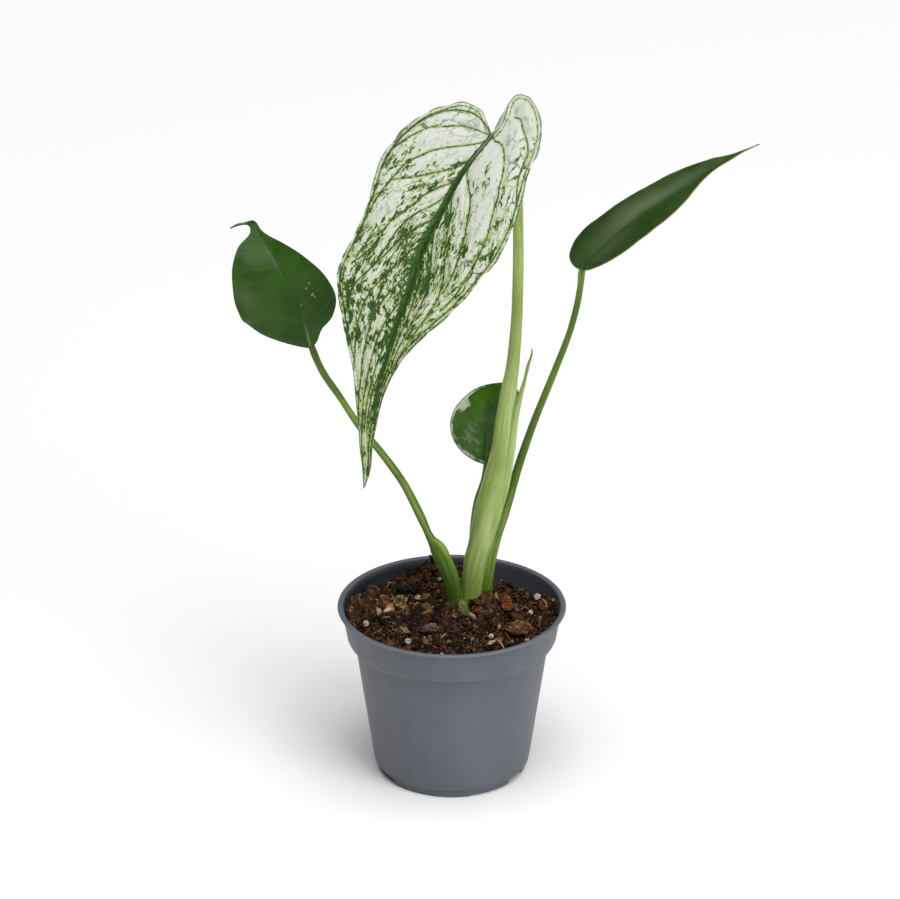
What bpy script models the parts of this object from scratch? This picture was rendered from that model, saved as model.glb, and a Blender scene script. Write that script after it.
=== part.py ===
"""A young variegated monstera in a round plastic nursery pot.

Lengths are in millimetres and become metres when a mesh is made. The origin is on the pot's axis at
the plane that it stands on, +X is to the viewer's right, +Y is away from the viewer and +Z is up.
"""

import math

import bmesh
import bpy
import numpy as np
from mathutils.bvhtree import BVHTree

MM = 0.001
GAP = 0.3  # kept between two pieces that touch

# Pot
POT_TOP_R = 60.0
POT_HEIGHT = 94.0
COLLAR_R = 57.5
COLLAR_BOTTOM_Z = 75.4
BODY_TOP_R = 50.9
BODY_BOTTOM_R = 41.4
FOOT_R = 39.4
WALL = 1.1
FLOOR_Z = 3.7
POT_SEGMENTS = 72
FOOT_PAD_COUNT = 3
FOOT_PAD_HALF_ANGLE = 15.0
DRAIN_NOTCH_HALF_ANGLE = 10.0
FOOT_RELIEF = 0.9
NOTCH_LEVEL = 3.0
DRAIN_HOLE_COUNT = 6
DRAIN_HOLE_R = 4.0
DRAIN_HOLE_RING_R = 29.0
CENTRE_PAD_R = 6.0

# Soil
SOIL_LEVEL = 84.0
SOIL_RINGS = 13
SOIL_SEGMENTS = 72
SOIL_MOUNDS = (  # x, y, radius, height of each swell on the soil
    (8.0, 9.0, 16.0, 7.5),
    (-6.0, 51.0, 22.0, 8.0),
    (-50.0, 12.0, 15.0, 7.5),
    (52.0, 10.0, 17.0, 6.0),
    (32.0, 44.0, 13.0, -2.0),
    (0.0, -52.0, 26.0, -2.0),
)

# Crown: the short stem that every leaf stalk stands on
CROWN = (9.0, 12.0)
CROWN_HALF = (17.0, 11.0)
CROWN_BOTTOM_Z = 60.0
CROWN_TOP_Z = 80.0
STALK_FOOT_Z = CROWN_TOP_Z + GAP

# Leaves
BLADE_HALF_THICKNESS = 0.45
MARGIN_SHARE = 0.6  # of that thickness is left at the margin
RIB_WIDTH = 2.6
VEIN_SWEEP = 0.55

# Every stalk: x, y, z, half width, half depth of each section from the foot up
LARGE_STALK = (
    (9.0, 12.5, STALK_FOOT_Z, 4.6, 4.2),
    (10.8, 12.8, 100, 5.0, 4.5),
    (13.1, 13.0, 113, 5.4, 4.5),
    (16.1, 13.5, 131, 6.3, 4.5),
    (18.6, 13.5, 143, 6.4, 4.4),
    (21.2, 13.5, 158, 5.1, 4.2),
    (24.8, 13.5, 178, 4.4, 4.0),
    (28.0, 13.5, 200, 4.2, 3.8),
    (31.2, 13.5, 223, 3.5, 3.4),
    (33.1, 13.0, 248, 3.0, 3.0),
    (33.8, 12.3, 275, 2.8, 2.8),
    (33.6, 11.0, 305, 2.7, 2.7),
    (32.4, 9.0, 328, 2.6, 2.6),
    (29.3, 6.5, 343, 2.5, 2.5),
)
LEFT_STALK = (
    (2.2, 6.6, STALK_FOOT_Z, 4.0, 2.6),
    (1.0, 6.5, 98, 4.4, 2.8),
    (-0.8, 6.5, 107, 4.4, 2.8),
    (-4.4, 7.0, 116, 4.5, 2.7),
    (-7.8, 7.0, 124, 4.0, 2.5),
    (-10.4, 7.0, 128, 2.5, 2.3),
    (-16.3, 6.5, 142, 2.2, 2.2),
    (-25.0, 6.0, 161, 2.1, 2.1),
    (-36.7, 4.0, 180, 1.9, 1.9),
    (-47.4, 2.5, 195, 1.8, 1.8),
    (-57.8, 1.0, 213, 1.7, 1.7),
    (-67.0, -0.5, 229, 1.7, 1.7),
)
RIGHT_STALK = (
    (18.8, 17.3, STALK_FOOT_Z, 3.5, 3.0),
    (19.3, 18.0, 102, 3.4, 3.0),
    (21.5, 19.0, 112, 3.2, 2.9),
    (24.4, 20.4, 123, 2.9, 2.7),
    (28.2, 21.0, 139, 2.6, 2.5),
    (35.8, 20.0, 168, 2.2, 2.2),
    (43.2, 18.5, 192, 2.0, 2.0),
    (53.0, 16.5, 220, 1.8, 1.8),
    (61.8, 14.0, 248, 1.7, 1.7),
    (64.2, 12.8, 264, 1.7, 1.7),
)
SMALL_STALK = (
    (10.2, 20.2, STALK_FOOT_Z, 1.6, 1.4),
    (10.4, 20.8, 110, 1.5, 1.3),
    (10.9, 21.4, 128, 1.4, 1.2),
    (13.0, 22.4, 144, 1.3, 1.1),
    (16.4, 23.6, 155, 1.2, 1.1),
)
SPEAR_LEAF = (
    (26.3, 11.5, 151.5, 0.5, 0.5),
    (27.9, 10.8, 159.5, 1.3, 1.3),
    (30.0, 10.8, 169.5, 1.9, 1.9),
    (31.5, 10.8, 178.5, 2.0, 2.0),
    (33.3, 11.0, 190.5, 2.0, 2.0),
    (35.2, 11.3, 201.5, 1.9, 1.9),
    (37.2, 11.7, 208, 1.6, 1.6),
    (38.8, 12.2, 216, 1.2, 1.2),
    (40.3, 13.0, 226, 0.8, 0.8),
    (41.0, 13.2, 231, 0.5, 0.5),
    (40.7, 13.3, 234, 0.25, 0.25),
)
OLD_SHEATH = (
    (5.2, 2.6, 91.6, 1.2, 0.5),
    (6.0, 1.0, 90.6, 2.2, 0.5),
    (6.9, -1.2, 89.8, 2.8, 0.5),
    (8.2, -3.8, 89.4, 1.8, 0.5),
    (9.4, -5.4, 89.3, 0.5, 0.4),
)

# Loose pieces on the soil: name, x, y, length, width, thickness, turn about Z, tilt
BARK_CHIPS = (
    ("bark_chip_large", 35.0, -14.0, 15.5, 10.0, 3.2, -12.0, 12.0),
    ("bark_chip_right", 29.0, 8.0, 5.4, 8.5, 2.6, 12.0, 62.0),
    ("bark_chip_front_left", -11.5, -13.0, 10.5, 5.5, 2.8, 8.0, 10.0),
    ("bark_chip_by_stalk", 13.5, 0.5, 5.5, 4.5, 2.2, 15.0, 35.0),
    ("bark_chip_left", -42.0, 26.5, 7.5, 5.0, 1.8, 10.0, 55.0),
    ("wood_chip_pale", -34.0, 6.0, 5.0, 2.6, 1.4, 35.0, 15.0),
)
PERLITE_GRAINS = (
    ("perlite_right", 41.5, 1.0, 2.4),
    ("perlite_right_edge", 45.0, 16.5, 3.4),
    ("perlite_back_left", -6.5, 37.0, 1.8),
    ("perlite_back", 6.0, 42.5, 2.2),
    ("perlite_left", -18.0, 22.0, 3.0),
    ("perlite_front_left", -23.0, -26.0, 3.2),
    ("perlite_far_left", -45.0, -8.0, 3.0),
    ("perlite_front", 20.5, -20.5, 2.4),
)
TWIGS = (  # name, both ends (x, y), radius
    ("twig_left", (-13.5, 5.0), (-9.5, 11.5), 0.55),
    ("twig_front", (22.5, -22.5), (27.0, -32.0), 0.6),
    ("twig_right", (47.5, 13.5), (50.0, 3.5), 0.45),
)


def clear_scene():
    for obj in list(bpy.data.objects):
        bpy.data.objects.remove(obj, do_unlink=True)


def material(name, colour, roughness):
    """A Principled material of one linear colour."""
    found = bpy.data.materials.new(name)
    found.use_nodes = True
    shader = found.node_tree.nodes["Principled BSDF"]
    shader.inputs["Base Color"].default_value = (*colour, 1.0)
    shader.inputs["Roughness"].default_value = roughness
    shader.inputs["Metallic"].default_value = 0.0
    found.diffuse_color = (*colour, 1.0)
    return found


def mesh_object(name, points, faces, finish, sharp_angle=50.0):
    """An object from points in millimetres; points that coincide are joined."""
    built = bmesh.new()
    corners = [built.verts.new(np.asarray(point, float) * MM) for point in points]
    for face in faces:
        built.faces.new([corners[index] for index in face])
    bmesh.ops.remove_doubles(built, verts=built.verts, dist=1e-6)
    bmesh.ops.dissolve_degenerate(built, edges=built.edges, dist=1e-7)
    bmesh.ops.recalc_face_normals(built, faces=built.faces)
    if built.calc_volume(signed=True) < 0:
        bmesh.ops.reverse_faces(built, faces=built.faces)
    mesh = bpy.data.meshes.new(name)
    built.to_mesh(mesh)
    built.free()
    mesh.shade_smooth()
    mesh.set_sharp_from_angle(angle=math.radians(sharp_angle))
    mesh.materials.append(finish)
    made = bpy.data.objects.new(name, mesh)
    bpy.context.scene.collection.objects.link(made)
    return made


def curve_at(points, along):
    """Points of the smooth curve through the given points, at distances measured on its chords.

    Past either end the curve goes on straight.
    """
    knots = np.asarray(points, float)
    steps = np.diff(knots, axis=0)
    length = np.linalg.norm(steps, axis=1)
    slope = steps / length[:, None]
    tangent = np.empty_like(knots)
    weighted = slope[:-1] * length[1:, None] + slope[1:] * length[:-1, None]
    tangent[1:-1] = weighted / (length[1:] + length[:-1])[:, None]
    tangent[0] = 1.5 * slope[0] - 0.5 * tangent[1]
    tangent[-1] = 1.5 * slope[-1] - 0.5 * tangent[-2]
    start = np.concatenate([[0.0], np.cumsum(length)])
    along = np.asarray(along, float)
    span = np.clip(np.searchsorted(start, along, side="right") - 1, 0, len(length) - 1)
    free = (along - start[span]) / length[span]
    part = np.clip(free, 0.0, 1.0)
    over = ((free - part) * length[span])[..., None]
    part = part[..., None]
    step = length[span][..., None]
    found = knots[span] * (2 * part**3 - 3 * part**2 + 1)
    found += tangent[span] * step * (part**3 - 2 * part**2 + part)
    found += knots[span + 1] * (3 * part**2 - 2 * part**3)
    found += tangent[span + 1] * step * (part**3 - part**2)
    return found + over * np.where(over < 0, tangent[0], tangent[-1])


def chord_length(points):
    return float(np.linalg.norm(np.diff(np.asarray(points, float), axis=0), axis=1).sum())


def unit(vectors):
    return vectors / np.linalg.norm(vectors, axis=-1, keepdims=True)


def grid_faces(rows, columns, closed=False):
    """Quads of a grid of points numbered row by row, closed round its columns if asked."""
    last = columns if closed else columns - 1
    faces = []
    for row in range(rows - 1):
        for column in range(last):
            beside = (column + 1) % columns
            low, high = row * columns, (row + 1) * columns
            faces.append((low + column, low + beside, high + beside, high + column))
    return faces


def lathe(name, profile_at, segments, finish):
    """A body turned about Z; profile_at gives its (radius, z) points at an angle in degrees.

    The profile starts and ends on the axis.
    """
    points = []
    for segment in range(segments):
        angle = 360.0 * segment / segments
        turn = math.radians(angle)
        for radius, height in profile_at(angle):
            points.append((radius * math.cos(turn), radius * math.sin(turn), height))
    per_row = len(points) // segments
    faces = []
    for segment in range(segments):
        here, there = segment * per_row, (segment + 1) % segments * per_row
        for step in range(per_row - 1):
            corners = [here + step, there + step, there + step + 1, here + step + 1]
            if step == 0:
                corners.pop(1)
            if step == per_row - 2:
                corners.pop(-2)
            faces.append(corners)
    return mesh_object(name, points, faces, finish, 35.0)


def inner_wall():
    """(radius, z) of the pot's inside, from the rim down to the floor."""
    return [
        (POT_TOP_R - 2.7, POT_HEIGHT),
        (POT_TOP_R - 3.2, POT_HEIGHT - 0.6),
        (COLLAR_R - WALL, POT_HEIGHT - 3.5),
        (COLLAR_R - 2.9 - WALL, COLLAR_BOTTOM_Z + 3.6),
        (COLLAR_R - 4.4 - WALL, COLLAR_BOTTOM_Z + 1.0),
        (BODY_TOP_R + 0.6 - WALL, COLLAR_BOTTOM_Z - 0.6),
        (BODY_TOP_R - WALL, COLLAR_BOTTOM_Z - 2.2),
        (BODY_BOTTOM_R - WALL, FLOOR_Z + 4.4),
        (BODY_BOTTOM_R - 0.8 - WALL, FLOOR_Z + 2.2),
        (BODY_BOTTOM_R - 3.0 - WALL, FLOOR_Z + WALL),
    ]


def outer_wall():
    """(radius, z) of the pot's outside, from the underside's edge up to the rim."""
    return [
        (FOOT_R, FLOOR_Z),
        (BODY_BOTTOM_R - 1.3, FLOOR_Z + 0.5),
        (BODY_BOTTOM_R - 0.4, FLOOR_Z + 1.6),
        (BODY_BOTTOM_R, FLOOR_Z + 3.8),
        (BODY_TOP_R, COLLAR_BOTTOM_Z - 2.2),
        (BODY_TOP_R + 0.7, COLLAR_BOTTOM_Z - 1.4),
        (COLLAR_R - 4.6, COLLAR_BOTTOM_Z - 0.6),
        (COLLAR_R - 3.1, COLLAR_BOTTOM_Z + 0.3),
        (COLLAR_R - 2.4, COLLAR_BOTTOM_Z + 1.9),
        (COLLAR_R, POT_HEIGHT - 2.6),
        (POT_TOP_R - 1.0, POT_HEIGHT - 1.7),
        (POT_TOP_R, POT_HEIGHT - 1.1),
        (POT_TOP_R, POT_HEIGHT - 0.5),
        (POT_TOP_R - 0.6, POT_HEIGHT),
    ]


def foot_level(angle):
    """Height of the foot ring's underside: three pads, a low relief between them, three notches."""
    pitch = 360.0 / FOOT_PAD_COUNT
    front = 270.0
    off_pad = abs((angle - front + pitch / 2) % pitch - pitch / 2)
    if off_pad <= FOOT_PAD_HALF_ANGLE:
        return 0.0
    if pitch / 2 - off_pad <= DRAIN_NOTCH_HALF_ANGLE:
        return NOTCH_LEVEL
    return FOOT_RELIEF


def pot_profile(angle):
    """The pot's whole section at an angle, from the centre of its underside round to its floor."""
    level = foot_level(angle)
    ring_inner = FOOT_R - 2 * WALL
    under = [
        (0.0, 0.0),
        (CENTRE_PAD_R, 0.0),
        (CENTRE_PAD_R + 0.4, FLOOR_Z),
        (ring_inner - 0.3, FLOOR_Z),
        (ring_inner, level),
        (FOOT_R - 0.2, level),
    ]
    inside = inner_wall() + [(0.0, FLOOR_Z + WALL)]
    return under + outer_wall() + inside


def round_cutter(name, centre, radius, low, high):
    """A hidden upright cylinder for a Boolean."""
    mesh = bpy.data.meshes.new(name)
    built = bmesh.new()
    bmesh.ops.create_cone(
        built, cap_ends=True, segments=16, radius1=radius * MM, radius2=radius * MM, depth=(high - low) * MM
    )
    built.to_mesh(mesh)
    built.free()
    cutter = bpy.data.objects.new(name, mesh)
    cutter.location = (centre[0] * MM, centre[1] * MM, (low + high) / 2 * MM)
    cutter.hide_render = True
    cutter.display_type = "WIRE"
    bpy.context.scene.collection.objects.link(cutter)
    return cutter


def cut(target, cutter):
    modifier = target.modifiers.new(cutter.name, "BOOLEAN")
    modifier.operation = "DIFFERENCE"
    modifier.object = cutter


def pot():
    plastic = material("pot_plastic", (0.126, 0.135, 0.158), 0.5)
    body = lathe("pot", pot_profile, POT_SEGMENTS, plastic)
    for number in range(DRAIN_HOLE_COUNT):
        turn = 2 * math.pi * (number + 0.52) / DRAIN_HOLE_COUNT
        centre = (DRAIN_HOLE_RING_R * math.cos(turn), DRAIN_HOLE_RING_R * math.sin(turn))
        cut(body, round_cutter(f"drain_cutter_{number}", centre, DRAIN_HOLE_R, FLOOR_Z - 2, FLOOR_Z + 3))
    return body


def soil_height(x, y):
    """Level of the soil's top: a plain level with swells, and small waves all over it."""
    level = SOIL_LEVEL
    for centre_x, centre_y, radius, height in SOIL_MOUNDS:
        away = ((x - centre_x) ** 2 + (y - centre_y) ** 2) / radius**2
        level += height * math.exp(-away)
    waves = 0.5 * math.sin(0.43 * x + 0.9) * math.sin(0.39 * y - 0.4)
    return level + waves + 0.3 * math.sin(0.83 * x - 0.61 * y)


def soil_radius(height):
    """The soil's outer radius at a height, just clear of the pot's inner wall."""
    wall = inner_wall()[::-1]
    heights = [point[1] for point in wall]
    radii = [point[0] for point in wall]
    return float(np.interp(height, heights, radii)) - GAP


def potting_soil():
    peat = material("peat", (0.030, 0.016, 0.009), 0.95)
    bottom = FLOOR_Z + WALL + GAP
    side_levels = [COLLAR_BOTTOM_Z + 3.6, COLLAR_BOTTOM_Z + 1.0, COLLAR_BOTTOM_Z - 0.6, COLLAR_BOTTOM_Z - 2.4]
    side_levels += [FLOOR_Z + 4.4, FLOOR_Z + 2.4, bottom]
    rows = []
    for segment in range(SOIL_SEGMENTS):
        turn = 2 * math.pi * segment / SOIL_SEGMENTS
        way = (math.cos(turn), math.sin(turn))
        edge = soil_radius(SOIL_LEVEL)
        for _ in range(4):
            edge = soil_radius(soil_height(edge * way[0], edge * way[1]))
        profile = []
        for ring in range(SOIL_RINGS):
            radius = edge * ring / (SOIL_RINGS - 1)
            profile.append((radius, soil_height(radius * way[0], radius * way[1])))
        profile += [(soil_radius(level), level) for level in side_levels]
        rows.append(profile + [(0.0, bottom)])
    step = 360.0 / SOIL_SEGMENTS
    body = lathe("potting_soil", lambda angle: rows[round(angle / step)], SOIL_SEGMENTS, peat)
    cutters = [crown_body("crown_well_cutter", GAP, CROWN_BOTTOM_Z - GAP, CROWN_TOP_Z + 2 * GAP, peat)]
    for number, sections in enumerate((LARGE_STALK, LEFT_STALK, RIGHT_STALK, SMALL_STALK)):
        grown = [(x, y, z, wide + GAP, deep + GAP) for x, y, z, wide, deep in sections[:4]]
        cutters.append(swept(f"stalk_hole_cutter_{number}", grown, peat, 10, 16, (0, 0, 1)))
    for cutter in cutters:
        cutter.hide_render = True
        cutter.display_type = "WIRE"
        cut(body, cutter)
    return body


def crown_body(name, grow, low, high, finish):
    """An upright oval body round the crown's axis, wider than the crown by grow."""
    segments = 28
    points = []
    for height in (low, high):
        for segment in range(segments):
            turn = 2 * math.pi * segment / segments
            across = (CROWN_HALF[0] + grow) * math.cos(turn)
            deep = (CROWN_HALF[1] + grow) * math.sin(turn)
            points.append((CROWN[0] + across, CROWN[1] + deep, height))
    faces = grid_faces(2, segments, closed=True)
    faces += [tuple(range(segments)), tuple(range(segments, 2 * segments))]
    return mesh_object(name, points, faces, finish)


def plant_crown():
    bark = material("stem_skin", (0.10, 0.13, 0.035), 0.6)
    return crown_body("plant_stem", 0.0, CROWN_BOTTOM_Z, CROWN_TOP_Z, bark)


def swept(name, sections, finish, rings, sides, first_way=None, last_way=None):
    """A solid with an oval section, swept along a smooth route.

    Each of the sections is x, y, z, half width, half depth. The depth lies along Y as nearly as it
    can. first_way and last_way turn the two end faces to look along a given direction.
    """
    knots = np.asarray(sections, float)
    scale = np.array([1, 1, 1, 2, 2])
    along = np.linspace(0, chord_length(knots * scale), rings)
    stations = curve_at(knots * scale, along) / scale
    centre = stations[:, :3]
    way = unit(np.gradient(centre, axis=0))
    if first_way is not None:
        way[0] = unit(np.asarray(first_way, float))
    if last_way is not None:
        way[-1] = unit(np.asarray(last_way, float))
    deep = np.array([0.0, 1.0, 0.0]) - way[:, 1:2] * way
    deep = unit(deep)
    across = np.cross(deep, way)
    turns = 2 * np.pi * np.arange(sides) / sides
    ring = across[:, None] * np.cos(turns)[None, :, None] * stations[:, None, 3:4]
    ring = ring + deep[:, None] * np.sin(turns)[None, :, None] * stations[:, None, 4:5]
    points = (centre[:, None] + ring).reshape(-1, 3)
    faces = grid_faces(rings, sides, closed=True)
    faces += [tuple(range(sides)), tuple(range((rings - 1) * sides, rings * sides))]
    return mesh_object(name, points, faces, finish)


class Leaf:
    """A blade that hangs on a curved midrib.

    route is the midrib, from where the stalk joins it to the tip. face gives the way that the upper
    side looks, at even steps along the midrib. left and right are the flat outlines of the two
    halves: distance along the midrib, distance out from it. fold lifts both halves from the midrib,
    in degrees, and camber bends them back down. curl_back is the radius at which the left half's
    lobe bends away behind the leaf.
    """

    def __init__(self, name, route, face, left, right, fold, camber, rib, curl_back=None):
        self.name = name
        self.route = np.asarray(route, float)
        self.face = np.asarray(face, float)
        self.outlines = {1: right, -1: left}
        self.fold = math.radians(fold)
        self.camber = camber
        self.rib = rib
        self.curl_back = {1: None, -1: curl_back}
        dense = np.linspace(0, chord_length(self.route), 300)
        steps = np.diff(curve_at(self.route, dense), axis=0)
        self.measured = np.concatenate([[0.0], np.cumsum(np.linalg.norm(steps, axis=1))])
        self.dense = dense
        self.length = self.measured[-1]

    def midrib(self, along):
        inside = np.interp(along, self.measured, self.dense)
        over = np.minimum(along, 0.0) + np.maximum(along - self.length, 0.0)
        return curve_at(self.route, inside + over)

    def frame(self, along):
        """The way along the midrib, the way the face looks and the way across, at each distance."""
        inside = np.clip(along, 0.0, self.length)
        way = unit(self.midrib(inside + 0.5) - self.midrib(inside - 0.5))
        share = inside / self.length
        steps = np.linspace(0, 1, len(self.face))
        hint = np.stack([np.interp(share, steps, self.face[:, axis]) for axis in range(3)], -1)
        look = unit(hint - (hint * way).sum(-1, keepdims=True) * way)
        return way, look, np.cross(look, way)

    def at(self, along, out, side):
        """Points of the blade's middle surface, side being 1 for its right half or -1."""
        way, look, across = self.frame(along)
        behind = np.maximum(-along, 0.0)[..., None]
        root = self.midrib(np.maximum(along, 0.0))
        radius = self.curl_back[side]
        if radius:
            root = root - way * radius * np.sin(behind / radius)
            root = root - look * radius * (1 - np.cos(behind / radius))
        else:
            root = root - way * behind
        out = np.asarray(out)[..., None]
        lift = np.abs(out) * math.sin(self.fold) - self.camber * out**2
        return root + across * side * out * math.cos(self.fold) + look * lift

    def normal(self, along, out, side):
        step = 0.2
        down = self.at(along + step, out, side) - self.at(along - step, out, side)
        away = self.at(along, out + step, side) - self.at(along, out - step, side)
        return unit(np.cross(down, away)) * side

    def vein_ends(self, side, fan_rows, body_rows):
        """Where each cross line starts on the midrib and where it meets the margin."""
        outline = self.outlines[side]
        dense = np.linspace(0, chord_length(outline), 400)
        margin = curve_at(outline, dense)
        reach = margin[:, 0] - VEIN_SWEEP * np.abs(margin[:, 1])
        first = int(np.nonzero(reach[:-1] <= 0)[0][-1]) + 1
        fan = dense[first] * np.arange(1, fan_rows + 1) / fan_rows
        starts = self.length * (np.arange(1, body_rows + 1) / body_rows) ** 0.9
        forward = np.maximum.accumulate(reach[first:])
        body = np.interp(starts, forward, dense[first:])
        body[-1] = dense[-1]
        ends = curve_at(outline, np.concatenate([fan, body]))
        ends[-1] = (self.length, 0.0)
        return np.concatenate([np.zeros(fan_rows), starts]), ends

    def half(self, side, fan_rows, body_rows, shares):
        """Flat (along, out) points of one half, one row for each cross line."""
        starts, ends = self.vein_ends(side, fan_rows, body_rows)
        length = np.hypot(ends[:, 0] - starts, ends[:, 1])
        near = np.minimum(0.3, RIB_WIDTH / np.maximum(length, 1e-6))
        part = near[:, None] + (1 - near[:, None]) * np.asarray(shares)[None]
        part = np.concatenate([np.zeros((len(starts), 1)), part], axis=1)
        bend = starts + 0.3 * (ends[:, 0] - starts)
        along = starts[:, None] * (1 - part) ** 2 + 2 * bend[:, None] * part * (1 - part)
        along = along + ends[:, 0:1] * part**2
        out = 1.1 * ends[:, 1:2] * part * (1 - part) + ends[:, 1:2] * part**2
        return along, out

    def solid(self, finish, fan_rows, body_rows, shares):
        """The whole blade as one closed body, with its midrib standing proud underneath."""
        points, faces = [], []
        for side in (1, -1):
            along, out = self.half(side, fan_rows, body_rows, shares)
            rows, columns = along.shape
            middle = self.at(along, out, side)
            look = self.normal(along, out, side)
            look[:, 0] = self.frame(along[:, 0])[1]
            look[-1] = look[-1, 0]
            thin = np.full(along.shape, BLADE_HALF_THICKNESS)
            thin[:, -1] *= MARGIN_SHARE
            thin[-1] = BLADE_HALF_THICKNESS * MARGIN_SHARE
            proud = np.zeros(along.shape)
            proud[:, 0] = self.rib * np.clip(1 - along[:, 0] / self.length, 0, 1) ** 0.8
            top = middle + look * thin[..., None]
            low = middle - look * (thin + proud)[..., None]
            start, beneath = len(points), rows * columns
            points += list(top.reshape(-1, 3)) + list(low.reshape(-1, 3))
            sheet = grid_faces(rows, columns)
            faces += [tuple(start + i for i in face) for face in sheet]
            faces += [tuple(start + beneath + i for i in face[::-1]) for face in sheet]
            edge = list(range(columns)) + [columns * row + columns - 1 for row in range(1, rows)]
            for here, there in zip(edge, edge[1:]):
                faces.append(tuple(start + i for i in (here, there, there + beneath, here + beneath)))
        return mesh_object(self.name, points, faces, finish, 70.0)

    def joint(self):
        """The point where the stalk joins, the way along the midrib there and the way the face looks."""
        way, look, _ = self.frame(np.array([0.0]))
        return self.midrib(np.array([0.0]))[0], way[0], look[0]


LARGE_BLADE = Leaf(
    "blade_large_variegated",
    route=[
        (20, -2, 357), (5, -13, 341), (-6, -23, 323), (-14, -30, 309), (-19.5, -37, 294), (-25, -43, 280),
        (-29.5, -47, 268), (-33.5, -50.5, 255), (-38.5, -54, 238), (-42, -57, 217), (-44.1, -58, 191),
        (-44.8, -58.2, 188.6), (-46.6, -58.4, 187.6),
    ],
    face=[(-0.10, -0.80, 0.60), (-0.05, -0.90, 0.42), (0.05, -0.95, 0.30)],
    left=[
        (0, 0), (-3.5, 6.5), (-7, 14), (-4.5, 21), (5, 29.7), (19, 37.3), (33, 40.4), (50, 38.2), (66, 35.8),
        (82, 38), (95, 37.8), (107, 31.2), (122, 22.2), (140, 12.5), (160, 6.2), (178, 3.6), (195.5, 0),
    ],
    right=[
        (0, 0), (-7, 0.2), (-13, -2), (-20, -4.8), (-25, -4), (-27.6, 0.8), (-26.2, 7), (-20, 16.3),
        (-9.5, 24.2), (4, 29.3), (20, 35), (38, 38.2), (56, 38.2), (73, 34.8), (88, 27.5), (105, 17.4),
        (122, 9), (145, 4.2), (170, 3), (195.5, 0),
    ],
    fold=17, camber=0.0045, rib=1.3, curl_back=9.0,
)
LEFT_BLADE = Leaf(
    "blade_left",
    route=[
        (-72, -1, 241), (-74.5, -4, 254), (-78.5, -6, 268), (-85, -6, 283), (-93, -3, 296), (-98.5, 1.5, 304),
        (-101, 5, 306.5), (-105, 9, 305.5), (-109, 12, 303.5), (-113, 14, 301),
    ],
    face=[(-0.30, -0.85, 0.50), (-0.30, -0.85, 0.50), (-0.20, -0.80, 0.60), (-0.10, -0.60, 0.80),
          (0.10, 0.50, 0.85)],
    left=[
        (0, 0), (3.5, 3.5), (12.5, 9), (20, 17.5), (27, 21.5), (37, 20), (48, 14.5), (60, 8), (70, 2.4),
        (80, 2.2), (92, 0),
    ],
    right=[
        (0, 0), (3, 4.5), (4, 12), (10, 22.5), (24, 29.5), (38, 30), (50, 28), (60, 22.5), (68, 14), (73, 3),
        (80, 2.2), (92, 0),
    ],
    fold=14, camber=0.005, rib=0.9,
)
RIGHT_BLADE = Leaf(
    "blade_right",
    route=[
        (65, 12, 279), (80, 12, 294), (97, 14, 309), (115, 16, 320), (132, 18, 331), (147, 20, 340),
        (156, 21, 344),
    ],
    face=[(-0.38, -0.38, 0.87), (-0.40, -0.34, 0.90), (-0.35, -0.30, 0.90)],
    left=[
        (0, 0), (3, 4.5), (10, 9.2), (18, 13), (30, 16), (43, 17.8), (55, 15.8), (65, 11.7), (75, 6.4),
        (84, 1.7), (98, 0.9), (113, 0),
    ],
    right=[
        (0, 0), (-1.5, 3.5), (-1.3, 11), (2.5, 16.6), (11, 19.7), (24, 18.9), (38, 16.3), (52, 15.2),
        (66, 13.8), (78, 10.6), (88, 6.6), (98, 2.3), (113, 0),
    ],
    fold=6, camber=0.004, rib=0.8,
)
SMALL_BLADE = Leaf(
    "blade_small_variegated",
    route=[(18, 24, 163.5), (18, 23.5, 175.5), (19, 23.5, 186.5), (21.5, 24.5, 198.5), (27, 27, 208.5)],
    face=[(-0.10, -0.90, 0.40), (-0.10, -0.85, 0.45), (-0.10, -0.80, 0.50)],
    left=[
        (0, 0), (2, 5), (9, 10.5), (21, 15), (34, 16), (44, 12), (48.5, 5.5), (48, 0),
    ],
    right=[
        (0, 0), (2.5, 5), (7, 12.5), (13, 17.5), (20, 20), (28, 19), (36, 13.5), (43, 6.5), (48, 0),
    ],
    fold=8, camber=0.006, rib=0.6,
)


def stalk_under(name, sections, leaf, finish, sides, rings):
    """A stalk whose end face lies flat against the rib under its leaf."""
    spot, _, look = leaf.joint()
    end = spot - look * (BLADE_HALF_THICKNESS + leaf.rib + GAP)
    last = sections[-1]
    whole = sections + ((*end, last[3], last[4]),)
    return swept(name, whole, finish, rings, sides, (0, 0, 1), look)


def stalk_behind(name, sections, leaf, finish, sides, rings):
    """A stalk whose end face looks along the midrib of its leaf."""
    spot, way, _ = leaf.joint()
    end = spot - way * GAP
    last = sections[-1]
    whole = sections + ((*end, last[3], last[4]),)
    return swept(name, whole, finish, rings, sides, (0, 0, 1), way)


def seat(piece, ground):
    """Lifts or lowers a loose piece until its lowest spot is the usual gap above the ground."""
    bpy.context.view_layer.update()
    depsgraph = bpy.context.evaluated_depsgraph_get()
    tree = BVHTree.FromObject(ground, depsgraph)
    clear = []
    for corner in piece.data.vertices:
        spot = piece.matrix_world @ corner.co
        hit = tree.ray_cast((spot.x, spot.y, POT_HEIGHT * 2 * MM), (0, 0, -1))[0]
        if hit is not None:
            clear.append(spot.z - hit.z)
    piece.location.z += GAP * 1.2 * MM - min(clear)


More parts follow.
